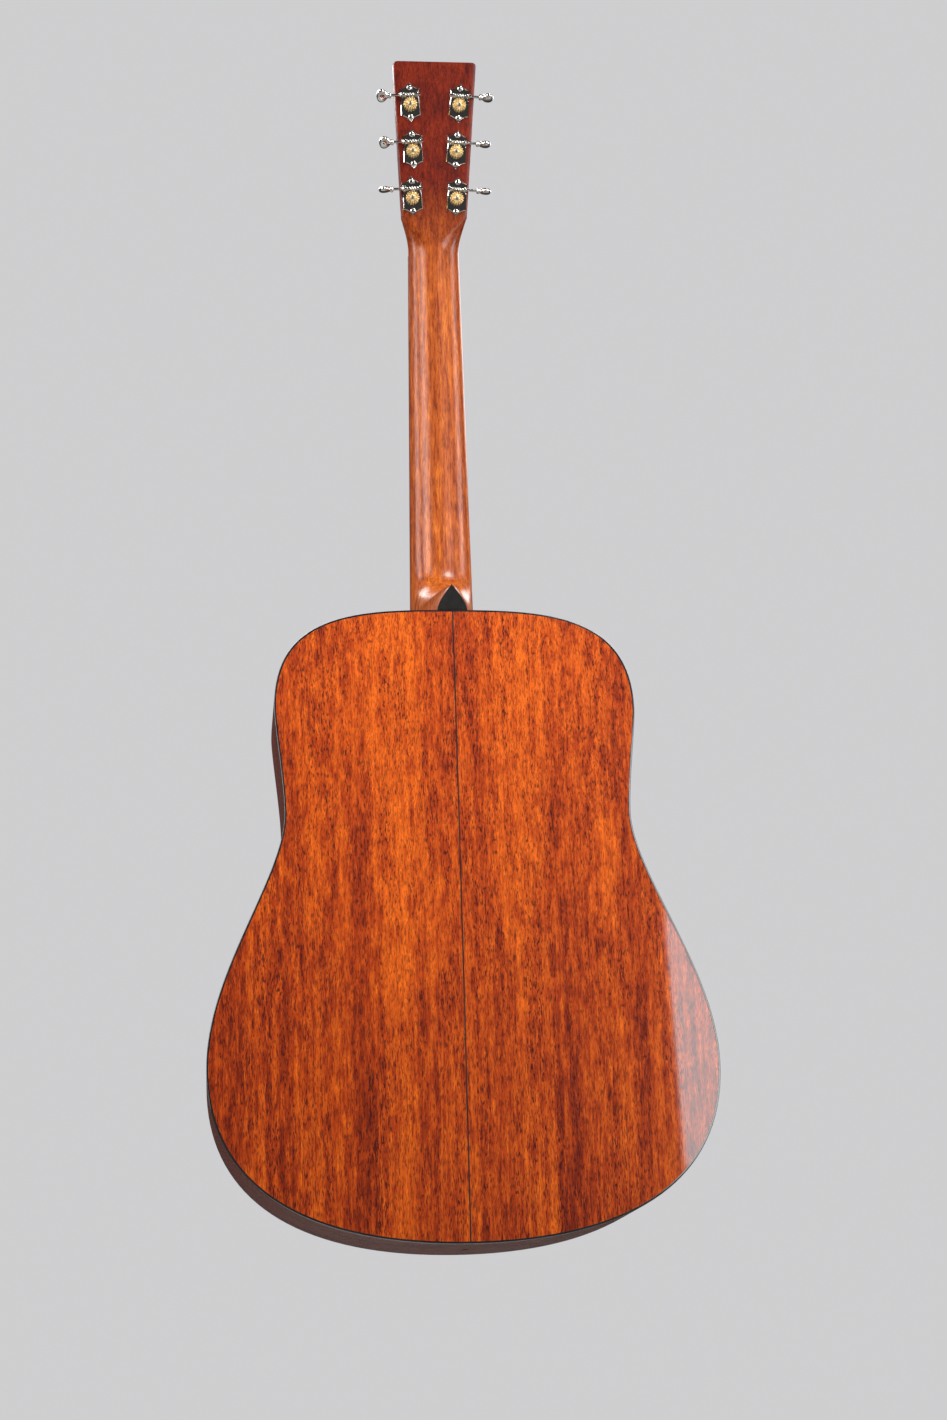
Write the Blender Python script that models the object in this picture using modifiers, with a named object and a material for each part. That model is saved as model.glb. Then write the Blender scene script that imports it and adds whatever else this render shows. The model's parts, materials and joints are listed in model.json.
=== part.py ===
"""Flat-top steel-string acoustic guitar, modelled as the separate pieces a maker would glue and screw up.

Frame, in metres: the sound board's outer face lies in the plane y = 0 and faces -Y, the arched back faces +Y,
+Z runs up the neck, and the tail of the body on the centre line is the origin. The bass side is -X.
Run it with: blender --background --python part.py
"""
import math

import bmesh
import bpy
from mathutils import Matrix, Vector

GAP = 0.0003                    # clearance kept between pieces that touch

# body
BODY_LENGTH = 0.508
LOWER_BOUT = (0.1986, 0.1361)   # half width and height above the tail
WAIST = (0.1375, 0.3365)
UPPER_BOUT = (0.1451, 0.4246)
TAIL_DEPTH = 0.1238             # outer depth on the centre line
NECK_END_DEPTH = 0.0984
BACK_RADIUS = 4.6               # arch across the back
BACK_RISE = 0.005               # arch along the back
TOP_THICKNESS = 0.0028
BACK_THICKNESS = 0.0025
RIM_THICKNESS = 0.002
BINDING_WIDTH = 0.0016
BINDING_HEIGHT = 0.005
LINING_WIDTH = 0.0055
LINING_HEIGHT = 0.014
SOUND_HOLE = (0.3585, 0.0508)   # height of its centre, radius
END_PIN_HOLE = (0.061, 0.0043)  # depth of its axis, radius
BLOCK_HALF = 0.036              # half width of the neck and tail blocks
TENON_HALF = 0.010

# neck and fingerboard
SCALE_LENGTH = 0.6452
FRETS = 20
NUT_Z = BODY_LENGTH + SCALE_LENGTH * 2 ** (-14 / 12) * (2 ** (14 / 12) - 1)
NUT_THICKNESS = 0.0055
NUT_WIDTH = 0.0446
WIDTH_AT_BODY = 0.0541
BOARD_END_Z = 0.418
BOARD_THICKNESS = 0.0062
BOARD_RADIUS = 0.406
FRET_HEIGHT = 0.0011
FRET_WIDTH = 0.0024
NECK_DEPTH_AT_NUT = 0.0140
NECK_DEPTH_AT_HEEL = 0.0170
HEEL_DEPTH = 0.0957
HEEL_LENGTH = 0.022             # length of the heel cap
HEEL_HALF = 0.01225
HEEL_CURVE_LENGTH = 0.055
ROD_DEPTH = 0.0075              # truss rod axis below the neck's glue plane
ROD_HALF = 0.003

# headstock
HEAD_Z = NUT_Z + NUT_THICKNESS + 2 * GAP
HEAD_ANGLE = math.radians(15)
HEAD_LENGTH = 0.1623
HEAD_SHOULDER = 0.0222           # distance up from the nut to the shoulders
SHOULDER_HALF = 0.0280
HEAD_TOP_HALF = 0.0366
HEAD_CORNER = 0.0035
HEAD_THICKNESS = 0.0135
HEADPLATE_THICKNESS = 0.0016
POST_HOLE_RADIUS = 0.0044

# strings and bridge, from the bass side to the treble side
STRING_RADII = (0.00067, 0.00053, 0.0004, 0.0003, 0.0002, 0.00016)
SPACING_AT_NUT = 0.0073
SPACING_AT_SADDLE = 0.0108
NUT_TOP = 0.0077                # height of the nut above the glue plane
SADDLE_TOP = 0.0106
SADDLE_Z = 0.2180
SADDLE_SLANT = math.radians(3.2)
SADDLE_LENGTH = 0.072
SADDLE_THICKNESS = 0.0024
BRIDGE_THICKNESS = 0.0080
PIN_Z = 0.2030
PIN_HOLE_RADIUS = 0.0029

# tuning machines: half distance from the centre line and height up the headstock
TUNER_ROWS = ((0.0195, 0.0421), (0.0191, 0.0834), (0.0215, 0.1243))
TUNER_TILT = math.radians(3.4)
WORM_RISE = 0.0079              # worm axis above the post's axis
WORM_DEPTH = 0.0169
POST_RADIUS = 0.0031
STRING_DEPTH = -0.0054          # where a string meets its post, from the headstock's face
KNOB_TURNS = (0, 4, 14, 0, 35, 42)   # rest angles in degrees, bass side up, then treble side up

MATERIALS = {
    "mahogany_red": ((0.33, 0.055, 0.020), 0.22, 0.0),
    "mahogany_neck": ((0.20, 0.035, 0.018), 0.30, 0.0),
    "mahogany_top": ((0.36, 0.075, 0.028), 0.25, 0.0),
    "binding_black": ((0.012, 0.011, 0.011), 0.25, 0.0),
    "rosewood": ((0.060, 0.028, 0.020), 0.45, 0.0),
    "bone": ((0.80, 0.76, 0.66), 0.40, 0.0),
    "spruce": ((0.62, 0.44, 0.26), 0.60, 0.0),
    "steel": ((0.55, 0.55, 0.56), 0.35, 1.0),
    "string_wound": ((0.50, 0.34, 0.20), 0.35, 1.0),
    "string_plain": ((0.62, 0.62, 0.63), 0.25, 1.0),
    "nickel": ((0.70, 0.69, 0.66), 0.15, 1.0),
    "brass": ((0.72, 0.48, 0.20), 0.28, 1.0),
    "pin_black": ((0.015, 0.014, 0.014), 0.30, 0.0),
}


def clear_scene():
    for item in list(bpy.data.objects):
        bpy.data.objects.remove(item, do_unlink=True)


def new_collection(name):
    group = bpy.data.collections.new(name)
    bpy.context.scene.collection.children.link(group)
    return group


def make_material(name):
    colour, roughness, metallic = MATERIALS[name]
    material = bpy.data.materials.get(name) or bpy.data.materials.new(name)
    material.use_nodes = True
    shader = material.node_tree.nodes["Principled BSDF"]
    shader.inputs["Base Color"].default_value = (*colour, 1.0)
    shader.inputs["Roughness"].default_value = roughness
    shader.inputs["Metallic"].default_value = metallic
    material.diffuse_color = (*colour, 1.0)
    return material


def add_empty(name, location, rotation=(0, 0, 0), parent=None):
    empty = bpy.data.objects.new(name, None)
    empty.location = location
    empty.rotation_euler = rotation
    empty.parent = parent
    guitar.objects.link(empty)
    return empty


def add_object(name, mesh, material, parent=None, smooth=False):
    if smooth:
        mesh.shade_smooth()
        mesh.set_sharp_from_angle(angle=math.radians(35))
    item = bpy.data.objects.new(name, mesh)
    item.parent = parent
    if material is None:
        item.hide_render = True
        item.display_type = "WIRE"
        cutters.objects.link(item)
    else:
        mesh.materials.append(make_material(material))
        guitar.objects.link(item)
    return item


def mesh_from(name, points, faces):
    """A mesh whose faces all point out."""
    mesh = bpy.data.meshes.new(name)
    mesh.from_pydata([tuple(point) for point in points], [], faces)
    work = bmesh.new()
    work.from_mesh(mesh)
    bmesh.ops.recalc_face_normals(work, faces=work.faces)
    work.to_mesh(mesh)
    work.free()
    return mesh


def loft(name, rings, material, parent=None, closed=False, smooth=False):
    """A solid through rings that all have the same number of points."""
    count = len(rings[0])
    points = [point for ring in rings for point in ring]
    faces = []
    steps = len(rings) if closed else len(rings) - 1
    for step in range(steps):
        here = step * count
        there = (step + 1) % len(rings) * count
        for index in range(count):
            after = (index + 1) % count
            faces.append((here + index, here + after, there + after, there + index))
    if not closed:
        faces.append(tuple(range(count)))
        faces.append(tuple(range(len(points) - count, len(points))))
    return add_object(name, mesh_from(name, points, faces), material, parent, smooth)


def plate(name, outline, near, far, material, parent=None):
    """A flat outline of (x, z) points, from depth near to depth far."""
    rings = [[(x, depth, z) for x, z in outline] for depth in (near, far)]
    return loft(name, rings, material, parent)


def box(name, low, high, material, parent=None):
    corners = [(low[0], low[2]), (high[0], low[2]), (high[0], high[2]), (low[0], high[2])]
    return plate(name, corners, low[1], high[1], material, parent)


def turned(name, profile, material, parent=None, segments=12, location=(0, 0, 0), rotation=(0, 0, 0)):
    """A turned solid. The profile is (radius, height) from its top to its bottom."""
    mesh = bpy.data.meshes.new(name)
    points = [(radius, 0.0, height) for radius, height in profile]
    edges = [(index, index + 1) for index in range(len(points) - 1)]
    mesh.from_pydata(points, edges, [])
    item = add_object(name, mesh, material, parent)
    item.location = location
    item.rotation_euler = rotation
    screw = item.modifiers.new("turn", "SCREW")
    screw.steps = segments
    screw.render_steps = segments
    screw.use_merge_vertices = True
    screw.merge_threshold = 0.00001
    screw.use_smooth_shade = material is not None
    return item


def rod(name, radius, start, end, material, parent=None, segments=12):
    """A plain cylinder between two points."""
    start, end = Vector(start), Vector(end)
    work = bmesh.new()
    bmesh.ops.create_cone(work, cap_ends=True, segments=segments, radius1=radius, radius2=radius,
                          depth=(end - start).length)
    mesh = bpy.data.meshes.new(name)
    work.to_mesh(mesh)
    work.free()
    item = add_object(name, mesh, material, parent, smooth=material is not None)
    turn = Vector((0, 0, 1)).rotation_difference(end - start)
    item.location = (start + end) / 2
    item.rotation_euler = turn.to_euler()
    return item


def combine(target, other, operation):
    modifier = target.modifiers.new(other.name, "BOOLEAN")
    modifier.operation = operation
    modifier.object = other


# ---- the body's outline, as four curves on the treble side, mirrored by the sign of side

CURVES = (
    ((0, 0), (0.1274, 0), (LOWER_BOUT[0], LOWER_BOUT[1] - 0.0893), LOWER_BOUT),
    (LOWER_BOUT, (LOWER_BOUT[0], LOWER_BOUT[1] + 0.0742), (WAIST[0], WAIST[1] - 0.0513), WAIST),
    (WAIST, (WAIST[0], WAIST[1] + 0.0253), (UPPER_BOUT[0], UPPER_BOUT[1] - 0.0154), UPPER_BOUT),
    (UPPER_BOUT, (UPPER_BOUT[0], BODY_LENGTH), (0.0721, BODY_LENGTH), (0, BODY_LENGTH)),
)
STEPS = (9, 8, 6, 8)            # pieces each curve is cut into
RIM_TAIL = (0, 0.0006)          # the rims meet here, a hair from the centre line
FIRST = (0, 0.03)               # the outline is straight between the two sides' first stations, at the tail,
LAST = (3, 0.98)                # and between their last ones, at the neck
RIM_NECK = (3, 0.95)            # the rims end here, beside the tenon
SIDE_STATIONS = [(curve, step / STEPS[curve]) for curve in range(4) for step in range(STEPS[curve])][1:]
SIDE_STATIONS = [FIRST, *SIDE_STATIONS, RIM_NECK, LAST]
LINING_TAIL, LINING_NECK = (0, 1 / 9), (3, 0.75)


def outline_point(station, inset=0.0, side=1):
    """The outline at a station, moved into the body by inset."""
    curve, t = station
    a, b, c, d = (Vector((x, z)) for x, z in CURVES[curve])
    s = 1 - t
    point = a * s ** 3 + b * 3 * s * s * t + c * 3 * s * t * t + d * t ** 3
    slope = (b - a) * s * s + (c - b) * 2 * s * t + (d - c) * t * t
    inward = Vector((-slope.y, slope.x)).normalized()
    point += inward * inset
    return side * point.x, point.y


def back_depth(x, z):
    """Depth of the back's outer face."""
    t = z / BODY_LENGTH
    centre = TAIL_DEPTH + (NECK_END_DEPTH - TAIL_DEPTH) * t + 4 * BACK_RISE * t * (1 - t)
    return centre - x * x / (2 * BACK_RADIUS)


def back_inside(x, z):
    return back_depth(x, z) - BACK_THICKNESS - GAP


def run(first, last, side):
    """Stations from first to last on one side, ends included."""
    inner = [station for station in SIDE_STATIONS if first < station < last]
    return [(station, side) for station in [first, *inner, last]]


def around(last):
    """Stations from one side's last, round the tail, to the other's."""
    return run(FIRST, last, -1)[::-1] + run(FIRST, last, 1)


def whole_outline(inset):
    return [outline_point(station, inset, side) for station, side in around(LAST)]


def edge_strip(name, path, outer, inner, near, far, material, closed=False):
    """A strip that follows the outline: near and far are (outer side, inner side) depths at an edge point."""
    rings = []
    for station, side in path:
        edge = outline_point(station, 0.0, side)
        x0, z0 = outline_point(station, outer, side)
        x1, z1 = outline_point(station, inner, side)
        (near0, near1), (far0, far1) = near(*edge), far(*edge)
        rings.append([(x0, near0, z0), (x0, far0, z0), (x1, far1, z1), (x1, near1, z1)])
    return loft(name, rings, material, closed=closed, smooth=True)


def flat(depth):
    return lambda x, z: (depth, depth)


def from_back(rise, inner_rise=None):
    inner = rise if inner_rise is None else inner_rise
    return lambda x, z: (back_depth(x, z) - rise, back_depth(x, z) - inner)


def make_pin_holes(*targets):
    for number in range(6):
        x = string_x(number, SPACING_AT_SADDLE)
        cutter = rod(f"pin_hole_{number + 1}", PIN_HOLE_RADIUS, (x, -0.02, PIN_Z), (x, 0.01, PIN_Z), None,
                     segments=10)
        for target in targets:
            combine(target, cutter, "DIFFERENCE")


def make_soundboard():
    board = plate("soundboard", whole_outline(BINDING_WIDTH + GAP), 0, TOP_THICKNESS, "mahogany_top")
    hole_z, hole_radius = SOUND_HOLE
    cutter = rod("sound_hole_cut", hole_radius, (0, -0.01, hole_z), (0, 0.01, hole_z), None, segments=40)
    combine(board, cutter, "DIFFERENCE")
    return board


def make_back():
    """An arched plate: rows across the body, each with the same number of points."""
    across = 8
    rings = []
    for station, _ in run(FIRST, LAST, 1):
        half, z = outline_point(station, BINDING_WIDTH + GAP)
        xs = [half * (2 * step / across - 1) for step in range(across + 1)]
        outer = [(x, back_depth(x, z), z) for x in xs]
        inner = [(x, back_depth(x, z) - BACK_THICKNESS, z) for x in reversed(xs)]
        rings.append(outer + inner)
    loft("back", rings, "mahogany_red", smooth=True)


def make_edges():
    """Rims, bindings and linings."""
    edge = BINDING_HEIGHT + GAP
    hole = rod("end_pin_cut", END_PIN_HOLE[1], (0, END_PIN_HOLE[0], -0.02), (0, END_PIN_HOLE[0], 0.05), None)
    for name, side in (("bass", -1), ("treble", 1)):
        rim = edge_strip(f"rim_{name}", run(RIM_TAIL, RIM_NECK, side), 0, RIM_THICKNESS, flat(edge),
                         from_back(edge), "mahogany_red")
        combine(rim, hole, "DIFFERENCE")
        path = run(LINING_TAIL, LINING_NECK, side)
        outer = RIM_THICKNESS + GAP
        inner = outer + LINING_WIDTH
        top = TOP_THICKNESS + GAP
        edge_strip(f"lining_top_{name}", path, outer, inner, flat(top),
                   lambda x, z, top=top: (top + LINING_HEIGHT, top + LINING_HEIGHT / 3), "spruce")
        rise = BACK_THICKNESS + 2 * GAP
        edge_strip(f"lining_back_{name}", path, outer, inner,
                   from_back(rise + LINING_HEIGHT, rise + LINING_HEIGHT / 3), from_back(rise), "spruce")
    edge_strip("binding_top", around(RIM_NECK), 0, BINDING_WIDTH, flat(0), flat(BINDING_HEIGHT), "binding_black")
    edge_strip("binding_back", around(LAST), 0, BINDING_WIDTH, from_back(BINDING_HEIGHT), from_back(0),
               "binding_black", closed=True)
    return hole


def fitted_block(name, outline, material):
    """A block that reaches from the sound board to the back."""
    near = [(x, TOP_THICKNESS + GAP, z) for x, z in outline]
    far = [(x, back_inside(x, z) - GAP, z) for x, z in outline]
    return loft(name, [near, far], material)


def make_blocks(end_pin_hole):
    inside = RIM_THICKNESS + GAP
    corner = outline_point(LINING_TAIL, inside)
    low = inside + (corner[1] - inside) / corner[0] * BLOCK_HALF
    tail = fitted_block("tail_block", [(-BLOCK_HALF, 0.024), (-BLOCK_HALF, low), (0, inside),
                                       (BLOCK_HALF, low), (BLOCK_HALF, 0.024)], "spruce")
    combine(tail, end_pin_hole, "DIFFERENCE")
    top = BODY_LENGTH - inside - 0.0008
    neck = fitted_block("neck_block", [(-BLOCK_HALF, 0.455), (BLOCK_HALF, 0.455), (BLOCK_HALF, top),
                                       (-BLOCK_HALF, top)], "mahogany_neck")
    half = TENON_HALF + GAP
    mortise = box("mortise_cut", (-half, -0.01, 0.493 - GAP), (half, 0.090 + GAP, 0.52), None)
    combine(neck, mortise, "DIFFERENCE")
    return neck


def flat_brace(name, start, end, width, height, material="spruce"):
    """A brace glued under the sound board, low at both ends."""
    start, end = Vector(start), Vector(end)
    along = (end - start).normalized()
    across = Vector((-along.y, along.x)) * width / 2
    length = (end - start).length
    top = TOP_THICKNESS + GAP
    ramp = min(0.035, length / 4)
    low = height * 0.3
    profile = [(0, top), (length, top), (length, top + low), (length - ramp, top + height),
               (ramp, top + height), (0, top + low)]
    rings = []
    for sign in (-1, 1):
        base = start + across * sign
        rings.append([(base.x + along.x * s, y, base.y + along.y * s) for s, y in profile])
    return loft(name, rings, material)


def make_top_braces():
    reach, low_end, high_end, crossing = 0.181, 0.118, 0.400, 0.281
    slope = (crossing - low_end) / reach
    x_low = low_end
    x_high = crossing + 0.132 * slope
    x_brace = flat_brace("x_brace", (-reach, x_low), (0.132, x_high), 0.0065, 0.015)
    other = flat_brace("x_brace_second_leg", (reach, x_low), (-0.132, x_high), 0.0065, 0.015, None)
    combine(x_brace, other, "UNION")
    flat_brace("tone_bar_1", (-0.052, 0.172), (0.100, 0.120), 0.0065, 0.012)
    flat_brace("tone_bar_2", (-0.064, 0.126), (0.078, 0.076), 0.0065, 0.012)
    upper = flat_brace("upper_brace", (-0.134, high_end + 0.027), (0.134, high_end + 0.027), 0.010, 0.013)
    key_notch = box("key_notch_cut", (-0.005, -0.01, 0.40), (0.005, 0.0125, 0.45), None)
    combine(upper, key_notch, "DIFFERENCE")
    top = TOP_THICKNESS + GAP
    return plate("bridge_plate", [(-0.058, 0.190), (0.058, 0.190), (0.038, 0.229), (-0.038, 0.229)], top,
                 top + 0.0025, "rosewood")


def make_back_braces():
    """Four cross braces that follow the arch of the back."""
    for number, (z, width, height) in enumerate(((0.100, 0.018, 0.009), (0.205, 0.018, 0.009),
                                                 (0.300, 0.008, 0.014), (0.418, 0.008, 0.014))):
        half = half_width_at(z) - 0.012
        rings = []
        for step in range(9):
            x = half * (step / 4 - 1)
            rise = height * min(1.0, 0.35 + (half - abs(x)) / 0.05)
            corners = []
            for edge in (z - width / 2, z + width / 2):
                corners.append((x, back_inside(x, edge) - GAP / 3, edge))
            for edge in (z + width / 2, z - width / 2):
                corners.append((x, back_inside(x, edge) - rise, edge))
            rings.append(corners)
        loft(f"back_brace_{number + 1}", rings, "spruce")


def half_width_at(z):
    """Half width of the outline at a height, by bisection along its curve."""
    for curve in range(4):
        if CURVES[curve][0][1] <= z <= CURVES[curve][3][1]:
            low, high = 0.0, 1.0
            while high - low > 0.0001:
                middle = (low + high) / 2
                if outline_point((curve, middle))[1] < z:
                    low = middle
                else:
                    high = middle
            return outline_point((curve, low))[0]
    return 0.0


def neck_half(z):
    share = (z - BODY_LENGTH) / (NUT_Z - BODY_LENGTH)
    return (WIDTH_AT_BODY + (NUT_WIDTH - WIDTH_AT_BODY) * share) / 2


def heel_cap_half(z):
    """Half width of the pointed heel cap."""
    t = (z - BODY_LENGTH) / HEEL_LENGTH
    return HEEL_HALF * (1 - max(t, 0.0) ** 1.53)


def neck_section(z, half_points=8):
    """Half of the neck's cross-section at a height, from its edge at the fingerboard round to the middle."""
    side = neck_half(z)

    def width(y):
        return side + (HEEL_HALF - side) * y / HEEL_DEPTH

    if z < BODY_LENGTH + HEEL_LENGTH:
        foot = heel_cap_half(z) / HEEL_HALF
        section = []
        for step in range(half_points):
            y = HEEL_DEPTH * math.sin(math.pi / 2 * step / (half_points - 1))
            section.append((width(y) * math.sqrt(1 - (y / HEEL_DEPTH) ** 2 * (1 - foot * foot)), y))
        return section + [(0.0, HEEL_DEPTH)]
    shaft = NECK_DEPTH_AT_HEEL + (NECK_DEPTH_AT_NUT - NECK_DEPTH_AT_HEEL) * (z - BODY_LENGTH) / (
        NUT_Z - BODY_LENGTH)
    rise = max(0.0, 1 - (z - BODY_LENGTH - HEEL_LENGTH) / HEEL_CURVE_LENGTH)
    depth = shaft + (HEEL_DEPTH - shaft) * rise ** 4.2
    angles = [math.pi / 2 * step / half_points for step in range(half_points + 1)]
    return [(width(depth * math.sin(angle)) * math.cos(angle), depth * math.sin(angle)) for angle in angles]


def head_half(s):
    """Half width of the headstock at a distance up from the nut."""
    if s < HEAD_SHOULDER:
        neck = neck_half(NUT_Z)
        return neck + (SHOULDER_HALF - neck) * (s / HEAD_SHOULDER) ** 2.2
    share = (s - HEAD_SHOULDER) / (HEAD_LENGTH - HEAD_SHOULDER)
    half = SHOULDER_HALF + (HEAD_TOP_HALF - SHOULDER_HALF) * share
    over = s - HEAD_LENGTH + HEAD_CORNER
    if over > 0:
        half -= HEAD_CORNER - math.sqrt(max(HEAD_CORNER ** 2 - over ** 2, 0.0))
    return half


def head_section(s, squareness, half_points=8):
    """Half of the headstock's cross-section, between the neck's round one and a square one."""
    half = head_half(s)
    section = []
    for step in range(half_points + 1):
        t = step / half_points
        round_point = Vector((math.cos(math.pi / 2 * t), math.sin(math.pi / 2 * t)))
        square_point = Vector((1, 2 * t)) if t < 0.5 else Vector((2 - 2 * t, 1))
        point = round_point.lerp(square_point, squareness)
        section.append((half * point.x, HEAD_THICKNESS * point.y))
    return section


def full_ring(section, origin, angle):
    """A half section, mirrored and set in a plane that leans back by angle."""
    both = section + [(-x, y) for x, y in reversed(section[:-1])]
    return [(x, origin[0] + y * math.cos(angle), origin[1] - y * math.sin(angle)) for x, y in both]


HEAD_STATIONS = (0.0, 0.006, 0.012, 0.018, HEAD_SHOULDER, 0.030, 0.060, 0.110,
                 *(HEAD_LENGTH - HEAD_CORNER * part for part in (1, 0.4, 0.1, 0)))


def make_neck():
    """Shaft, heel, headstock and tenon in one piece, with the truss rod's channel and the post holes."""
    heel = [BODY_LENGTH + GAP, 0.512, 0.516, 0.520, 0.524, 0.5275, 0.5305, 0.533, 0.536, 0.540, 0.545, 0.551,
            0.558, 0.568, 0.585]
    shaft = [0.660, 0.740, 0.810, 0.845]
    rings = [full_ring(neck_section(z), (0, z), 0) for z in heel + shaft]
    rings.append(full_ring(neck_section(NUT_Z - 0.008), (0, NUT_Z - 0.008), math.radians(4)))
    for s in HEAD_STATIONS:
        squareness = min(1.0, 0.15 + s / 0.026)
        origin = (s * math.sin(HEAD_ANGLE), HEAD_Z + s * math.cos(HEAD_ANGLE))
        rings.append(full_ring(head_section(s, squareness), origin, HEAD_ANGLE))
    neck = loft("neck", rings, "mahogany_neck", smooth=True)
    tenon = box("tenon_part", (-TENON_HALF, TOP_THICKNESS + GAP, 0.493), (TENON_HALF, 0.090, 0.513), None)
    combine(neck, tenon, "UNION")
    channel = box("rod_channel_cut", (-ROD_HALF - GAP, -0.01, 0.45),
                  (ROD_HALF + GAP, ROD_DEPTH + 0.004 + GAP, 0.838), None)
    combine(neck, channel, "DIFFERENCE")
    return neck, channel


def make_truss_rod():
    box("truss_rod", (-ROD_HALF, ROD_DEPTH - 0.004, 0.4535), (ROD_HALF, ROD_DEPTH + 0.004, 0.8375), "steel")
    nut = turned("truss_rod_nut", [(0, 0.013), (0.0038, 0.013), (0.0038, 0.0006), (0.0032, 0), (0, 0)], "steel",
                 location=(0, ROD_DEPTH, 0.440))
    socket = rod("key_socket_cut", 0.0024, (0, ROD_DEPTH, 0.43), (0, ROD_DEPTH, 0.447), None, segments=6)
    combine(nut, socket, "DIFFERENCE")


def make_heel_cap():
    steps = [BODY_LENGTH + GAP + HEEL_LENGTH * step / 8 * 0.985 for step in range(9)]
    right = [(heel_cap_half(z), z) for z in steps]
    outline = right + [(-x, z) for x, z in reversed(right)]
    plate("heel_cap", outline, HEEL_DEPTH + GAP, HEEL_DEPTH + GAP + 0.002, "binding_black")


def make_fingerboard():
    """A board with a rounded face; each fret is a raised band across it."""
    def ring(z, rise):
        half = neck_half(z)
        top = [half * (1 - step / 2) for step in range(5)]
        face = [(x, -(BOARD_THICKNESS - x * x / (2 * BOARD_RADIUS)) - rise, z) for x in top]
        return [(-half, -GAP, z), (half, -GAP, z)] + face

    rings = [ring(BOARD_END_Z, 0)]
    for number in range(FRETS, 0, -1):
        z = NUT_Z - SCALE_LENGTH * (1 - 2 ** (-number / 12))
        wide, crown = FRET_WIDTH / 2, FRET_WIDTH / 4
        rings += [ring(z - wide, 0), ring(z - crown, FRET_HEIGHT), ring(z + crown, FRET_HEIGHT),
                  ring(z + wide, 0)]
    rings.append(ring(NUT_Z, 0))
    loft("fingerboard", rings, "rosewood")


def crowned_bar(name, half, foot, top, slices, material):
    """A bone bar whose crest follows the fingerboard's radius. Each slice is (z, drop of its crest)."""
    xs = [half * (1 - step / 4) for step in range(9)]
    rings = []
    for z, drop in slices:
        crest = [(x, drop - (top - x * x / (2 * BOARD_RADIUS)), z) for x in xs]
        rings.append([(-half, foot, z), (half, foot, z)] + crest)
    return loft(name, rings, material)


def make_nut():
    near = NUT_Z + GAP
    crowned_bar("nut", neck_half(NUT_Z), -GAP, NUT_TOP,
                [(near, 0), (near + 0.0012, 0), (near + NUT_THICKNESS, 0.0022)], "bone")


def make_headplate():
    """The veneer on the headstock's face, in the headstock's own frame."""
    steps = [0.0015] + list(HEAD_STATIONS[1:])
    right = [(head_half(s), s) for s in steps]
    outline = right + [(-x, s) for x, s in reversed(right)]
    return plate("headplate", outline, -GAP - HEADPLATE_THICKNESS, -GAP, "rosewood", headstock)


def make_bridge():
    """A belly bridge with thin wings, a slot for the saddle and six pin holes."""
    rings = []
    for x in (-0.076, -0.073, -0.068, -0.060, -0.053, -0.046, -0.030, -0.015, 0, 0.015, 0.030, 0.046, 0.053,
              0.060, 0.068, 0.073, 0.076):
        reach = abs(x)
        belly = 0.008 * 0.5 * (1 + math.cos(math.pi * min(reach / 0.060, 1)))
        end = max(0.0, (reach - 0.066) / 0.010)
        low = 0.1965 - belly + 0.006 * end * end
        high = 0.2285 - 0.006 * end * end
        wing = min(max((reach - 0.044) / 0.018, 0.0), 1.0)
        top = -GAP - (BRIDGE_THICKNESS - 0.0048 * (3 * wing ** 2 - 2 * wing ** 3))
        edge = 0.0010
        rings.append([(x, -GAP, low), (x, top + edge, low), (x, top, low + edge), (x, top, high - edge),
                      (x, top + edge, high), (x, -GAP, high)])
    bridge = loft("bridge", rings, "rosewood")
    slot = box("saddle_slot_cut", (-SADDLE_LENGTH / 2 - GAP, -0.03, -SADDLE_THICKNESS / 2 - GAP),
               (SADDLE_LENGTH / 2 + GAP, -0.0040, SADDLE_THICKNESS / 2 + GAP), None)
    edge = SADDLE_THICKNESS / 2
    saddle = crowned_bar("saddle", SADDLE_LENGTH / 2, -0.0040 - GAP, SADDLE_TOP,
                         [(-edge, 0.0009), (-edge / 3, 0), (edge / 3, 0), (edge, 0.0004)], "bone")
    for item in (slot, saddle):
        item.location = (0, 0, SADDLE_Z)
        item.rotation_euler = (0, -SADDLE_SLANT, 0)
    combine(bridge, slot, "DIFFERENCE")
    return bridge


def make_pins():
    """Six turned pins that hold the strings' ends in the bridge."""
    face = BRIDGE_THICKNESS + GAP
    profile = [(0, 0.0036), (0.0018, 0.0033), (0.0032, 0.0022), (0.0037, 0.0010), (0.0034, GAP),
               (0.00235, GAP), (0.00215, -0.020), (0, -0.022)]
    for number in range(6):
        turned(f"bridge_pin_{number + 1}", profile, "pin_black", segments=10,
               location=(string_x(number, SPACING_AT_SADDLE), -face, PIN_Z), rotation=(math.pi / 2, 0, 0))


def string_x(number, spacing):
    """Strings are counted from the bass side."""
    return (number - 2.5) * spacing


def tuner_place(number):
    """Tuners 0 to 2 go up the bass side and 3 to 5 go up the treble side."""
    side = -1 if number < 3 else 1
    half, s = TUNER_ROWS[number % 3]
    return side, half, s


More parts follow.
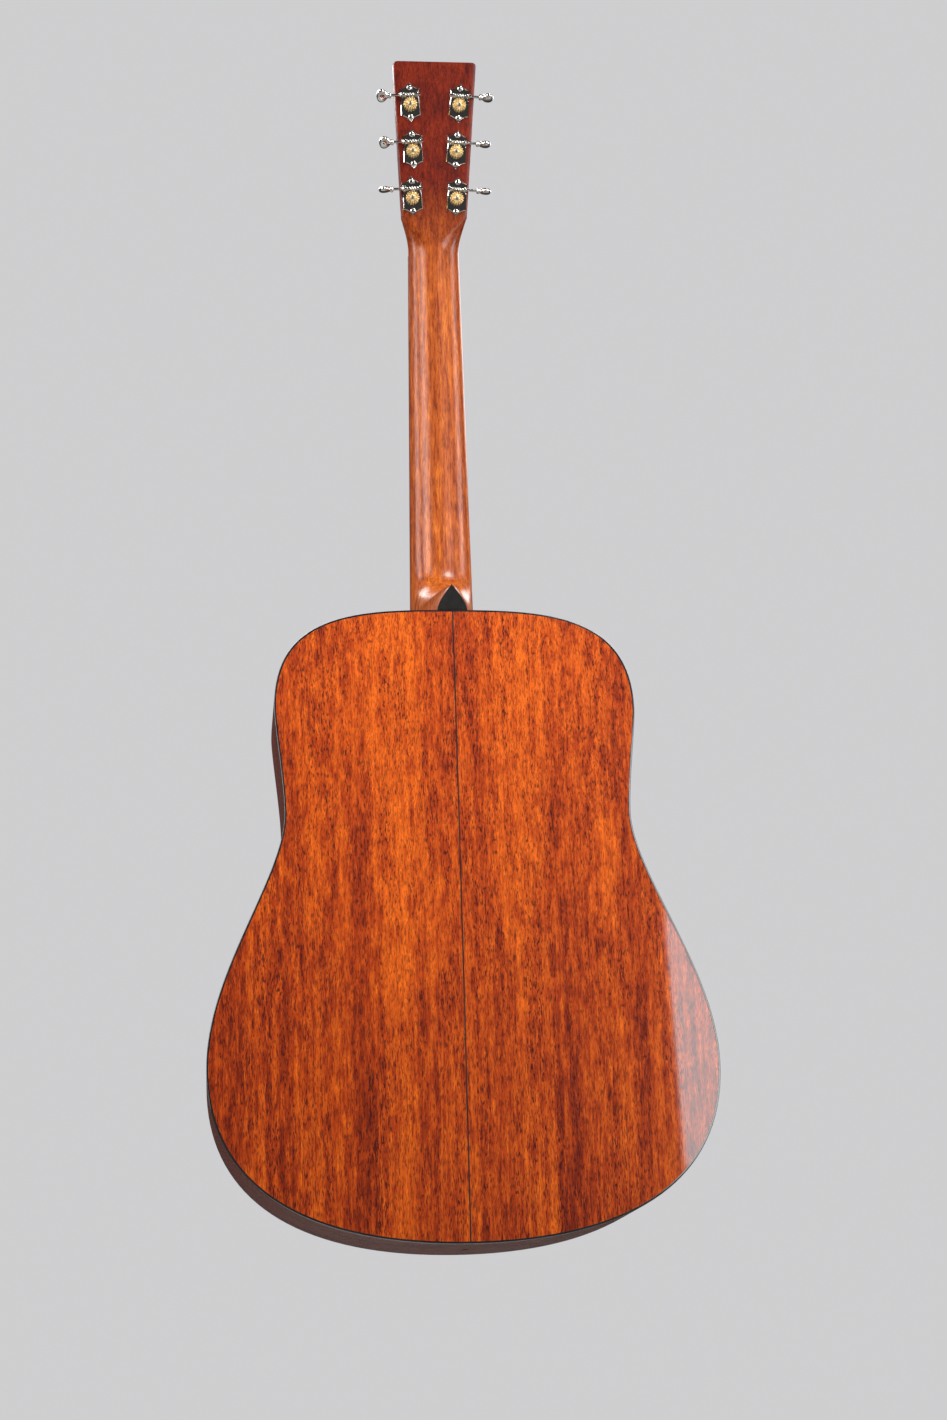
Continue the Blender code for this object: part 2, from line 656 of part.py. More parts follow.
def make_strings():
    head_frame = Matrix.Translation((0, 0, HEAD_Z)) @ Matrix.Rotation(-HEAD_ANGLE, 4, "X")
    for number, radius in enumerate(STRING_RADII):
        x_nut = string_x(number, SPACING_AT_NUT)
        x_saddle = string_x(number, SPACING_AT_SADDLE)
        over_nut = NUT_TOP - x_nut ** 2 / (2 * BOARD_RADIUS) + GAP + radius
        over_saddle = SADDLE_TOP - x_saddle ** 2 / (2 * BOARD_RADIUS) + GAP + radius
        over_bridge = BRIDGE_THICKNESS + 2 * GAP + radius
        side, half, s = tuner_place(number if number < 3 else 8 - number)
        x_post = side * (half - POST_RADIUS - GAP - radius)
        at_post = head_frame @ Vector((x_post, STRING_DEPTH, s))
        saddle_z = SADDLE_Z + x_saddle * math.tan(SADDLE_SLANT)
        path = [(x_saddle, -over_bridge, PIN_Z + 0.0040), (x_saddle, -over_saddle, saddle_z),
                (x_nut, -over_nut, NUT_Z + GAP + 0.0006), tuple(at_post)]
        curve = bpy.data.curves.new(f"string_{number + 1}", "CURVE")
        curve.dimensions = "3D"
        curve.bevel_depth = radius
        curve.bevel_resolution = 1
        curve.use_fill_caps = True
        spline = curve.splines.new("POLY")
        spline.points.add(len(path) - 1)
        for point, place in zip(spline.points, path):
            point.co = (*place, 1)
        curve.materials.append(make_material("string_wound" if number < 4 else "string_plain"))
        guitar.objects.link(bpy.data.objects.new(f"string_{number + 1}", curve))


PLATE_OUTLINE = ((0, -0.0154), (0.0014, -0.0136), (0.0032, -0.0119), (0.0056, -0.0105), (0.0086, -0.0097),
                 (0.0083, 0.0010), (0.0078, 0.0098), (0.0092, 0.0138), (0.0058, 0.0142), (0.0034, 0.0157),
                 (0.0018, 0.0178), (0, 0.0186))


def make_tuner_plate(name, frame):
    """Base plate with its two worm bearings and two screw heads."""
    right = list(PLATE_OUTLINE)
    outline = right + [(-x, z) for x, z in reversed(right[1:-1])]
    near = HEAD_THICKNESS + GAP
    far = near + 0.001
    base = plate(name, outline, near, far, "nickel", frame)
    for number, x in enumerate((-0.0064, 0.0064)):
        ear = box(f"{name}_ear_{number}", (x - 0.0005, far - 0.0005, WORM_RISE - 0.0026),
                  (x + 0.0005, WORM_DEPTH + 0.0027, WORM_RISE + 0.0026), None, frame)
        combine(base, ear, "UNION")
    for number, z in enumerate((-0.0112, 0.01465)):
        head = turned(f"{name}_screw_{number}", [(0, 0.0014), (0.0012, 0.0012), (0.0021, 0.0006),
                                                 (0.0025, -0.0006), (0, -0.0006)], None, frame,
                      location=(0, far, z), rotation=(-math.pi / 2, 0, 0))
        combine(base, head, "UNION")
    bore = rod(f"{name}_worm_bore", 0.0017, (-0.02, WORM_DEPTH, WORM_RISE), (0.02, WORM_DEPTH, WORM_RISE),
               None, frame)
    combine(base, bore, "DIFFERENCE")
    hole = rod(f"{name}_post_hole", POST_RADIUS + 0.0006, (0, -0.01, 0), (0, 0.03, 0), None, frame)
    combine(base, hole, "DIFFERENCE")


WORM = 0.0017
NECKED = 0.0013
SHAFT = 0.0011
# distance out along the axis, half width and half thickness
KNOB_SECTIONS = (
    (-0.0093, 0.0012, 0.0012), (-0.0090, WORM, WORM), (-0.0072, WORM, WORM), (-0.0072, NECKED, NECKED),
    (-0.0056, NECKED, NECKED), (-0.0056, WORM, WORM), (0.0056, WORM, WORM), (0.0056, NECKED, NECKED),
    (0.0072, NECKED, NECKED), (0.0072, WORM, WORM), (0.0098, WORM, WORM), (0.0098, SHAFT, SHAFT),
    (0.0168, SHAFT, SHAFT), (0.0169, 0.0025, 0.0025), (0.0184, 0.0026, 0.0026), (0.0198, 0.0024, 0.0022),
    (0.0212, 0.0044, 0.0023), (0.0232, 0.0062, 0.0025), (0.0256, 0.0067, 0.0025), (0.0276, 0.0056, 0.0023),
    (0.0288, 0.0036, 0.0017), (0.0294, 0.0012, 0.0007),
)


def make_tuner_knob(name, frame, side, turn):
    """Worm shaft with its bean-shaped knob, which turns about its own X axis."""
    points = 10
    rings = []
    for out, wide, thin in KNOB_SECTIONS:
        angles = [2 * math.pi * step / points for step in range(points)]
        rings.append([(side * out, wide * math.cos(angle), thin * math.sin(angle)) for angle in angles])
    knob = loft(name, rings, "nickel", frame, smooth=True)
    knob.location = (0, WORM_DEPTH, WORM_RISE)
    knob.rotation_euler = (math.radians(turn), 0, 0)


def make_tuner_post(name, frame):
    """String post with the gear and its screw at the back end. Its own +Z points out of the headstock's face."""
    gear_near, gear_far = 0.0153, 0.0185
    profile = [(0, 0.0129), (0.0026, 0.0129), (POST_RADIUS, 0.0124), (POST_RADIUS, 0.0085), (0.0026, 0.0068),
               (0.0026, 0.0048), (POST_RADIUS, 0.0030), (POST_RADIUS, -gear_near - 0.001), (0.0024, -gear_far),
               (0.0024, -gear_far - 0.0008), (0.0012, -gear_far - 0.0016), (0, -gear_far - 0.0016)]
    post = turned(name, profile, "brass", frame, rotation=(math.pi / 2, 0, 0))
    teeth = 16
    outline = []
    for step in range(2 * teeth):
        radius = 0.0059 if step % 2 else 0.0052
        angle = math.pi * (step + 0.5) / teeth
        outline.append((radius * math.cos(angle), radius * math.sin(angle)))
    gear = plate(f"{name}_gear", outline, gear_near, gear_far, None, frame)
    combine(post, gear, "UNION")


def make_tuners(*drilled):
    for number in range(6):
        side, half, s = tuner_place(number)
        frame = add_empty(f"tuner_frame_{number + 1}", (side * half, 0, s), (0, side * TUNER_TILT, 0), headstock)
        make_tuner_plate(f"tuner_plate_{number + 1}", frame)
        make_tuner_knob(f"tuner_knob_{number + 1}", frame, side, KNOB_TURNS[number])
        make_tuner_post(f"tuner_post_{number + 1}", frame)
        hole = rod(f"post_hole_{number + 1}", POST_HOLE_RADIUS, (0, -0.02, 0), (0, 0.03, 0), None, frame)
        for target in drilled:
            combine(target, hole, "DIFFERENCE")


clear_scene()
guitar = new_collection("acoustic_guitar")
cutters = new_collection("cutters")
headstock = add_empty("headstock_frame", (0, 0, HEAD_Z), (-HEAD_ANGLE, 0, 0))

soundboard = make_soundboard()
make_back()
end_pin_hole = make_edges()
neck_block = make_blocks(end_pin_hole)
bridge_plate = make_top_braces()
make_back_braces()
bridge = make_bridge()
make_pin_holes(soundboard, bridge, bridge_plate)
make_pins()
neck, rod_channel = make_neck()
combine(neck_block, rod_channel, "DIFFERENCE")
make_truss_rod()
make_heel_cap()
make_fingerboard()
make_nut()
headplate = make_headplate()
make_tuners(neck, headplate)
make_strings()
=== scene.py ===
import json
import math

import bmesh
import bpy
from mathutils import Matrix, Vector

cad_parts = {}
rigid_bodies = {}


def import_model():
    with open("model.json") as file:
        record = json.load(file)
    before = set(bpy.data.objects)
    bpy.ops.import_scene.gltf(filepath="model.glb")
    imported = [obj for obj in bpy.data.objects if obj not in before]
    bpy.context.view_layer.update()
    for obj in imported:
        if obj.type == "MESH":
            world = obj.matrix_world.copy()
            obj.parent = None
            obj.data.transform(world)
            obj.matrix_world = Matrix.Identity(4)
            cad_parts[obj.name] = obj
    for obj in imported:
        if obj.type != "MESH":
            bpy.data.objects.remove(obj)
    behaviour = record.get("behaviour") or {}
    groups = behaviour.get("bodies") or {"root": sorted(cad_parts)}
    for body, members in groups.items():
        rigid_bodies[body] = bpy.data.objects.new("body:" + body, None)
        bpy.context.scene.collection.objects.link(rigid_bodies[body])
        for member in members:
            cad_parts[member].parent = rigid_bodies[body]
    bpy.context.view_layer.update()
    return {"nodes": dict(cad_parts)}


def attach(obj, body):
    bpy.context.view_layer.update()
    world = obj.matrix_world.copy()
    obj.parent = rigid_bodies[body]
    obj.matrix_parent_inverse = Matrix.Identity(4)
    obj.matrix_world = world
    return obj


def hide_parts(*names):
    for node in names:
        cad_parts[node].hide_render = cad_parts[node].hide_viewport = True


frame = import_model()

print("frame: loaded", len(frame["nodes"]), "pieces")


camera = {
    "place": (0.195, 2.1794, -0.1444),
    "forward": (-0.0969, -0.9601, 0.2621),
    "up": (0.0004, 0.2633, 0.9647),
    "lens": 68.33,
    "sensor": 36.0,
}


def makeCamera():
    backward = -Vector(camera["forward"]).normalized()
    right = Vector(camera["up"]).cross(backward).normalized()
    upward = backward.cross(right)
    data = bpy.data.cameras.new("studioCamera")
    data.lens = camera["lens"]
    data.sensor_width = camera["sensor"]
    item = bpy.data.objects.new("studioCamera", data)
    turn = Matrix((right, upward, backward)).transposed().to_4x4()
    item.matrix_world = Matrix.Translation(camera["place"]) @ turn
    bpy.context.scene.collection.objects.link(item)
    bpy.context.scene.camera = item


softboxes = {   # the spread is in degrees, and a narrow one lights like a box behind a honeycomb
    "sideSoftbox": {"place": (-1.0755, 2.0675, 0.75), "aim": (0.0, 0.1, 0.60), "size": (0.85, 1.1),
                    "power": 22, "spread": 180},
    "highSoftbox": {"place": (1.42, 1.70, 1.55), "aim": (0.0, 0.1, 0.85), "size": (0.9, 1.6),
                    "power": 4.3, "spread": 60},
    "topLight": {"place": (-0.65, 1.15, 1.95), "aim": (-0.07, 0.1, 0.68), "size": (0.8, 0.6),
                 "power": 1.35, "spread": 28},
    "leftLight": {"place": (1.90, 0.55, 1.00), "aim": (0.0, 0.05, 0.80), "size": (0.6, 2.0),
                  "power": 7.0, "spread": 80},
    "rightLight": {"place": (-1.90, 0.60, 1.00), "aim": (0.0, 0.05, 0.80), "size": (0.6, 2.0),
                   "power": 6.0, "spread": 75},
    "frontSoftbox": {"place": (0.90, -1.60, 2.60), "aim": (0.0, 0.0, 0.40), "size": (1.6, 1.2),
                     "power": 46, "spread": 180},
    "frontFill": {"place": (-1.60, -2.40, 2.30), "aim": (0.0, 0.0, 0.30), "size": (1.4, 1.0),
                  "power": 20, "spread": 180},
}
studio = {
    "floorHeight": -0.32,
    "floorHalf": 4.2,
    "floorFade": (0.9, 3.0),   # how far from the middle the floor starts and ends its fade
    "floorColour": (0.62, 0.61, 0.60),
    "floorDarker": 0.98,
    "air": (0.62, 0.62, 0.63),
    "roomLight": (0.055, 0.052, 0.050),
}


def makeLights():
    for name, box in softboxes.items():
        data = bpy.data.lights.new(name, "AREA")
        data.shape = "RECTANGLE"
        data.size, data.size_y = box["size"]
        data.energy = box["power"]
        data.spread = math.radians(box["spread"])
        item = bpy.data.objects.new(name, data)
        item.location = box["place"]
        aim = Vector(box["aim"]) - Vector(box["place"])
        item.rotation_euler = aim.to_track_quat("-Z", "Y").to_euler()
        bpy.context.scene.collection.objects.link(item)
    world = bpy.data.worlds.new("studioAir")   # pale behind the guitar, but it lights it only a little
    world.use_nodes = True
    tree = world.node_tree
    seen = put(tree, "LightPath").outputs["Is Camera Ray"]
    air = mixColours(tree, seen, studio["roomLight"], studio["air"])
    tree.links.new(air, tree.nodes["Background"].inputs["Color"])
    bpy.context.scene.world = world
    bpy.context.scene.view_settings.view_transform = "Standard"


def put(tree, kind, inputs=None, **settings):
    node = tree.nodes.new("ShaderNode" + kind)
    for key, value in settings.items():
        setattr(node, key, value)
    for key, value in (inputs or {}).items():
        socket = node.inputs[key]
        if isinstance(value, bpy.types.NodeSocket):
            tree.links.new(value, socket)
        else:
            socket.default_value = value
    return node


def maths(tree, operation, first, second=0.0):
    return put(tree, "Math", {0: first, 1: second}, operation=operation).outputs[0]


def stretch(tree, place, scale):
    return put(tree, "Mapping", {"Vector": place, "Scale": scale}).outputs[0]


def cloud(tree, place, scale, detail=2.0, roughness=0.5):
    inputs = {"Vector": stretch(tree, place, scale), "Scale": 1.0, "Detail": detail, "Roughness": roughness}
    return put(tree, "TexNoise", inputs).outputs[0]


def levels(tree, value, low, high, bottom=0.0, top=1.0):
    inputs = {"Value": value, "From Min": low, "From Max": high, "To Min": bottom, "To Max": top}
    return put(tree, "MapRange", inputs).outputs[0]


def mixColours(tree, share, first, second, blend="MIX"):
    node = put(tree, "Mix", data_type="RGBA", blend_type=blend)
    for index, value in ((0, share), (6, first), (7, second)):
        if isinstance(value, bpy.types.NodeSocket):
            tree.links.new(value, node.inputs[index])
        else:
            node.inputs[index].default_value = value if index == 0 else (*value, 1)
    return node.outputs[2]


def ramp(tree, share, stops):
    node = put(tree, "ValToRGB", {"Fac": share})
    band = node.color_ramp
    while len(band.elements) < len(stops):
        band.elements.new(0.5)
    for element, (spot, colour) in zip(band.elements, stops):
        element.position = spot
        element.color = (*colour, 1)
    return node.outputs[0]


def bump(tree, height, strength, distance):
    return put(tree, "Bump", {"Height": height, "Strength": strength, "Distance": distance}).outputs[0]


def newFinish(name, settings):
    finish = bpy.data.materials.new(name)
    finish.use_nodes = True
    tree = finish.node_tree
    shader = tree.nodes["Principled BSDF"]
    for key, value in settings.items():
        shader.inputs[key].default_value = value
    return finish, tree, shader


def grainPlace(tree, look):
    # where the grain is read, plain and folded at the centre seam: metres, or along and across a bent strip
    if look.get("strip"):
        place = put(tree, "TexCoord").outputs["UV"]
        return place, place
    place = put(tree, "TexCoord").outputs["Object"]
    if not look.get("mirrored"):
        return place, place
    parts = put(tree, "SeparateXYZ", {0: place})
    fold = maths(tree, "ABSOLUTE", parts.outputs[0])
    return place, put(tree, "CombineXYZ", {0: fold, 1: parts.outputs[1], 2: parts.outputs[2]}).outputs[0]


def alongGrain(look, across, along):
    sideways = look.get("strip") or look.get("grain") == "x"
    return (along, across, across) if sideways else (across, across, along)


cloudRange = (0.30, 0.70)   # noise seldom leaves these values
grain = {
    "wander": (9.0, 4.0),       # rates across and along the grain, per metre
    "streaks": (620.0, 34.0),
    "bandRun": 0.035,           # rate along the grain as a share of the one across it
    "mottleRun": 0.30,
    "ribbons": (5.5, 0.2),      # rates across and along as shares of the bands' own
    "hairs": (1.9, 1.2),        # the finest pores against the wider ones
    "shares": (0.24, 0.20, 0.30, 0.26),   # of bands, ribbons, mottle and streaks in the tone
    "poreCut": (0.53, 0.605),
    "hairCut": (0.55, 0.64, 0.0, 0.6),
    "crowd": (0.62, 0.36, 0.6, 1.0),      # pores gather in the darker ribbons
    "wear": (-0.04, 0.05),      # smudges make the surface this much smoother or rougher
    "poreWear": 0.12,
    "streakRelief": 0.35,
    "reliefHeight": 0.0002,
}


def makeWood(name, look):
    settings = {"Coat Weight": look["coat"], "Coat Roughness": look["coatRoughness"],
                "Specular IOR Level": look["shine"]}
    finish, tree, shader = newFinish(name, settings)
    place, folded = grainPlace(tree, look)
    wander = cloud(tree, place, alongGrain(look, *grain["wander"]))
    wander = maths(tree, "MULTIPLY", maths(tree, "SUBTRACT", wander, 0.5), look["wander"])
    drift = put(tree, "VectorMath", {0: place, 1: wander}, operation="ADD").outputs[0]
    rate, blot, fine = look["bands"], look["mottle"], look["pores"]
    across, along = grain["ribbons"]
    bands = cloud(tree, folded, alongGrain(look, rate, rate * grain["bandRun"]))
    ribbons = cloud(tree, drift, alongGrain(look, rate * across, rate * along))
    mottle = cloud(tree, drift, alongGrain(look, blot, blot * grain["mottleRun"]), 3.0, 0.65)
    streaks = cloud(tree, drift, alongGrain(look, *grain["streaks"]))
    total = 0.0
    for value, share in zip((bands, ribbons, mottle, streaks), grain["shares"]):
        total = maths(tree, "ADD", maths(tree, "MULTIPLY", value, share), total)
    tone = levels(tree, total, 0.5 - look["contrast"], 0.5 + look["contrast"])
    colour = ramp(tree, tone, look["colours"])
    across, along = grain["hairs"]
    pores = cloud(tree, drift, alongGrain(look, fine, fine * look["poreLength"]), 1.0)
    hairs = cloud(tree, drift, alongGrain(look, fine * across, fine * look["poreLength"] * along), 1.0)
    pores = levels(tree, pores, *grain["poreCut"])
    pores = maths(tree, "MAXIMUM", pores, levels(tree, hairs, *grain["hairCut"]))
    pores = maths(tree, "MULTIPLY", pores, levels(tree, ribbons, *grain["crowd"]))
    colour = mixColours(tree, maths(tree, "MULTIPLY", pores, look["poreDepth"]), colour, look["poreColour"])
    if "shade" in look:   # painted shade that deepens between two heights, for the headstock leaning away from the light
        low, high, depth = look["shade"]
        height = put(tree, "SeparateXYZ", {0: place}).outputs[2]
        dark = mixColours(tree, 1.0, colour, look["shadeColour"], "MULTIPLY")
        colour = mixColours(tree, levels(tree, height, low, high, 0.0, depth), colour, dark)
    smudges = cloud(tree, place, (14.0, 14.0, 14.0), 3.0)
    smooth, rough = (look["roughness"] + part for part in grain["wear"])
    worn = levels(tree, smudges, *cloudRange, smooth, rough)
    worn = maths(tree, "ADD", worn, maths(tree, "MULTIPLY", pores, grain["poreWear"]))
    tree.links.new(colour, shader.inputs["Base Color"])
    tree.links.new(worn, shader.inputs["Roughness"])
    height = maths(tree, "SUBTRACT", maths(tree, "MULTIPLY", streaks, grain["streakRelief"]), pores)
    tree.links.new(bump(tree, height, look["relief"], grain["reliefHeight"]), shader.inputs["Normal"])
    return finish


def makePolished(name, look):
    # hard shiny stuff: black plastic, bone, pearl, nickel, brass
    finish, tree, shader = newFinish(name, {
        "Metallic": look.get("metallic", 0.0), "Coat Weight": look.get("coat", 0.0), "Coat Roughness": 0.05,
        "Specular IOR Level": look.get("shine", 0.5)})
    place = put(tree, "TexCoord").outputs["Object"]
    cloudy = cloud(tree, place, (look["cloud"],) * 3, 3.0, 0.6)
    rub = cloud(tree, place, look.get("brush", (900.0, 900.0, 900.0)), 2.0)
    colour = ramp(tree, levels(tree, cloudy, *cloudRange), look["colours"])
    tree.links.new(colour, shader.inputs["Base Color"])
    tree.links.new(levels(tree, rub, *cloudRange, *look["roughness"]), shader.inputs["Roughness"])
    tree.links.new(bump(tree, rub, look.get("relief", 0.1), 0.00003), shader.inputs["Normal"])
    return finish


def makeWound(name, look):
    # round-wound string: fine rings along its length, with painted shade darkening the grooves between the
    # windings
    finish, tree, shader = newFinish(name, {"Metallic": 1.0})
    place = stretch(tree, put(tree, "TexCoord").outputs["UV"], (look["rings"], 0.0, 0.0))
    rings = put(tree, "TexWave", {"Vector": place, "Scale": 1.0}, bands_direction="X").outputs[1]
    tree.links.new(ramp(tree, rings, look["colours"]), shader.inputs["Base Color"])
    tree.links.new(levels(tree, rings, 0.0, 1.0, *look["roughness"]), shader.inputs["Roughness"])
    tree.links.new(bump(tree, rings, look["relief"], 0.0001), shader.inputs["Normal"])
    return finish


lacquer = {"coat": 1.0, "coatRoughness": 0.035, "shine": 0.08, "roughness": 0.42, "relief": 0.25}
satin = {"coat": 0.62, "coatRoughness": 0.25, "shine": 0.08, "roughness": 0.42, "relief": 0.30}
oiled = {"coat": 0.0, "coatRoughness": 0.30, "shine": 0.4, "roughness": 0.46, "relief": 0.45}
mahogany = {"bands": 30.0, "mottle": 210.0, "wander": 0.004, "contrast": 0.11, "pores": 1350.0,
            "poreLength": 0.15, "poreDepth": 0.92, "poreColour": (0.050, 0.004, 0.002)}
redTones = [(0.0, (0.18, 0.015, 0.002)), (0.40, (0.41, 0.047, 0.004)), (1.0, (0.78, 0.140, 0.008))]
darkTones = [(0.0, (0.07, 0.009, 0.004)), (0.5, (0.16, 0.022, 0.006)), (1.0, (0.28, 0.045, 0.009))]
neckTones = [(0.0, (0.22, 0.031, 0.004)), (0.5, (0.44, 0.090, 0.011)), (1.0, (0.68, 0.180, 0.020))]
spruceTones = [(0.0, (0.52, 0.32, 0.14)), (0.5, (0.66, 0.46, 0.24)), (1.0, (0.76, 0.58, 0.34))]
ebonyTones = [(0.0, (0.012, 0.009, 0.008)), (0.5, (0.028, 0.017, 0.013)), (1.0, (0.060, 0.034, 0.022))]
rosewoodTones = [(0.0, (0.030, 0.012, 0.008)), (0.5, (0.075, 0.028, 0.017)), (1.0, (0.14, 0.055, 0.030))]
closeGrain = {**mahogany, "bands": 260.0, "mottle": 120.0, "wander": 0.002, "contrast": 0.16,
              "pores": 1400.0, "poreDepth": 0.25}

woods = {
    "backMahogany": {**mahogany, **lacquer, "colours": redTones, "mirrored": True},
    "rimMahogany": {**mahogany, **lacquer, "coat": 0.55, "colours": darkTones, "strip": True},
    "topMahogany": {**mahogany, **lacquer, "colours": redTones, "mirrored": True, "bands": 44.0},
    # the neck wood is painted darker from just below the nut over the headstock: painted shade
    "neckMahogany": {**mahogany, **satin, "colours": neckTones, "bands": 60.0, "poreDepth": 0.55,
                     "poreLength": 0.10, "shade": (0.830, 0.925, 1.0), "shadeColour": (0.40, 0.13, 0.12)},
    "innerMahogany": {**mahogany, **oiled, "colours": darkTones},
    "braceSpruce": {**closeGrain, **oiled, "colours": spruceTones, "poreColour": (0.40, 0.22, 0.09)},
    "fingerboardEbony": {**closeGrain, **oiled, "colours": ebonyTones, "poreDepth": 0.6,
                         "poreColour": (0.004, 0.003, 0.003)},
    "bridgeEbony": {**closeGrain, **oiled, "colours": ebonyTones, "grain": "x", "poreDepth": 0.6,
                    "poreColour": (0.004, 0.003, 0.003)},
    "plateRosewood": {**closeGrain, **lacquer, "colours": rosewoodTones, "poreDepth": 0.6,
                      "poreColour": (0.012, 0.006, 0.004)},
    "stripRosewood": {**closeGrain, **lacquer, "colours": ebonyTones, "poreColour": (0.01, 0.005, 0.004)},
}
polished = {
    "blackBinding": {"colours": [(0.0, (0.010, 0.010, 0.011)), (1.0, (0.022, 0.020, 0.020))], "cloud": 60.0,
                     "roughness": (0.10, 0.20), "coat": 0.6},
    "heelCapBlack": {"colours": [(0.0, (0.010, 0.010, 0.010)), (1.0, (0.020, 0.019, 0.018))], "cloud": 140.0,
                     "roughness": (0.12, 0.24), "coat": 0.5},
    "boneWhite": {"colours": [(0.0, (0.66, 0.58, 0.44)), (1.0, (0.82, 0.77, 0.65))], "cloud": 260.0,
                  "roughness": (0.28, 0.42), "brush": (2600.0, 500.0, 500.0)},
    "pinBlack": {"colours": [(0.0, (0.012, 0.011, 0.011)), (1.0, (0.024, 0.022, 0.020))], "cloud": 300.0,
                 "roughness": (0.14, 0.26), "coat": 0.3},
    "pearlDot": {"colours": [(0.0, (0.46, 0.50, 0.50)), (0.5, (0.80, 0.78, 0.74)), (1.0, (0.62, 0.56, 0.60))],
                 "cloud": 420.0, "roughness": (0.10, 0.22), "coat": 0.8},
    "tortoise": {"colours": [(0.0, (0.010, 0.004, 0.003)), (0.45, (0.035, 0.010, 0.005)),
                             (1.0, (0.17, 0.045, 0.012))],
                 "cloud": 62.0, "roughness": (0.10, 0.18), "coat": 1.0},
    "rosetteWhite": {"colours": [(0.0, (0.62, 0.58, 0.48)), (1.0, (0.76, 0.73, 0.64))], "cloud": 300.0,
                     "roughness": (0.22, 0.34), "coat": 0.8},
    "nickel": {"colours": [(0.0, (0.62, 0.605, 0.57)), (1.0, (0.78, 0.77, 0.74))], "cloud": 240.0,
               "roughness": (0.05, 0.12), "metallic": 1.0},
    "plateNickel": {"colours": [(0.0, (0.56, 0.55, 0.52)), (1.0, (0.70, 0.69, 0.66))], "cloud": 200.0,
                    "roughness": (0.03, 0.08), "metallic": 1.0, "brush": (500.0, 500.0, 2600.0)},
    "gearBrass": {"colours": [(0.0, (0.72, 0.50, 0.22)), (1.0, (0.88, 0.68, 0.36))], "cloud": 330.0,
                  "roughness": (0.32, 0.46), "metallic": 1.0, "relief": 0.3},
    "screwSteel": {"colours": [(0.0, (0.20, 0.195, 0.19)), (1.0, (0.34, 0.33, 0.32))], "cloud": 380.0,
                   "roughness": (0.24, 0.40), "metallic": 1.0},
    "fretNickel": {"colours": [(0.0, (0.56, 0.55, 0.52)), (1.0, (0.70, 0.68, 0.64))], "cloud": 300.0,
                   "roughness": (0.12, 0.26), "metallic": 1.0, "brush": (300.0, 1800.0, 1800.0)},
    "plainString": {"colours": [(0.0, (0.58, 0.58, 0.58)), (1.0, (0.74, 0.74, 0.73))], "cloud": 90.0,
                    "roughness": (0.16, 0.28), "metallic": 1.0},
}
# the dark end of the ring colours is painted shade in the grooves between windings
woundLook = {"rings": 9000.0, "colours": [(0.0, (0.20, 0.11, 0.05)), (1.0, (0.66, 0.44, 0.25))],
             "roughness": (0.45, 0.24), "relief": 0.8}


def makeFinishes():
    made = {name: makeWood(name, look) for name, look in woods.items()}
    made.update({name: makePolished(name, look) for name, look in polished.items()})
    made["woundString"] = makeWound("woundString", woundLook)
    floorFinish, tree, shader = newFinish("studioFloor", {"Roughness": 0.7})
    place = put(tree, "TexCoord").outputs["Object"]
    base = studio["floorColour"]
    tones = [(0.0, tuple(part * studio["floorDarker"] for part in base)), (1.0, base)]
    grey = ramp(tree, cloud(tree, place, (1.5, 1.5, 1.5)), tones)
    far = put(tree, "VectorMath", {0: place}, operation="LENGTH").outputs["Value"]
    tree.links.new(grey, shader.inputs["Base Color"])
    tree.links.new(levels(tree, far, *studio["floorFade"], 1.0, 0.0), shader.inputs["Alpha"])
    made["studioFloor"] = floorFinish
    return made


def mark(item, body, replaces):
    # the body it moves with and the plain parts it stands for
    if body:
        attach(item, body)
    if replaces:
        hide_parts(*replaces)
    return item


def addPiece(name, points, faces, finish, body="root", slot=None, replaces=(), uv=None, sharp=35):
    mesh = bpy.data.meshes.new(name)
    mesh.from_pydata([tuple(point) for point in points], [], faces)
    if uv:
        layer = mesh.uv_layers.new(name="strip")
        for loop in mesh.loops:
            layer.data[loop.index].uv = uv[loop.vertex_index]
    work = bmesh.new()
    work.from_mesh(mesh)
    bmesh.ops.remove_doubles(work, verts=work.verts, dist=1e-7)
    bmesh.ops.recalc_face_normals(work, faces=work.faces)
    work.to_mesh(mesh)
    work.free()
    mesh.materials.append(finishes[finish])
    mesh.shade_smooth()
    mesh.set_sharp_from_angle(angle=math.radians(sharp))
    item = bpy.data.objects.new(name, mesh)
    bpy.context.scene.collection.objects.link(item)
    return mark(item, body, replaces)


def ringFaces(ringCount, count, closed=False):
    # a skin over rings of points, with both end rings filled unless it closes on itself
    faces = []
    for step in range(ringCount if closed else ringCount - 1):
        here, there = step * count, (step + 1) % ringCount * count
        for index in range(count):
            after = (index + 1) % count
            faces.append((here + index, here + after, there + after, there + index))
    if not closed:
        faces.append(tuple(range(count)))
        faces.append(tuple(range((ringCount - 1) * count, ringCount * count)))
    return faces


def addSkin(name, rings, finish, closed=False, **options):
    count = len(rings[0])
    points = [Vector(point) for ring in rings for point in ring]
    uv, along = [], 0.0
    for number, ring in enumerate(rings):
        if number:
            along += (Vector(ring[0]) - Vector(rings[number - 1][0])).length
        around = 0.0
        for index, point in enumerate(ring):
            if index:
                around += (Vector(point) - Vector(ring[index - 1])).length
            uv.append((along, around))
    return addPiece(name, points, ringFaces(len(rings), count, closed), finish, uv=uv, **options)


def merge(name, items, body, replaces=()):
    # several shapes that are one real piece
    first = items[0]
    with bpy.context.temp_override(active_object=first, selected_editable_objects=items):
        bpy.ops.object.join()
    first.name = name
    first.data.name = name
    return mark(first, body, replaces)


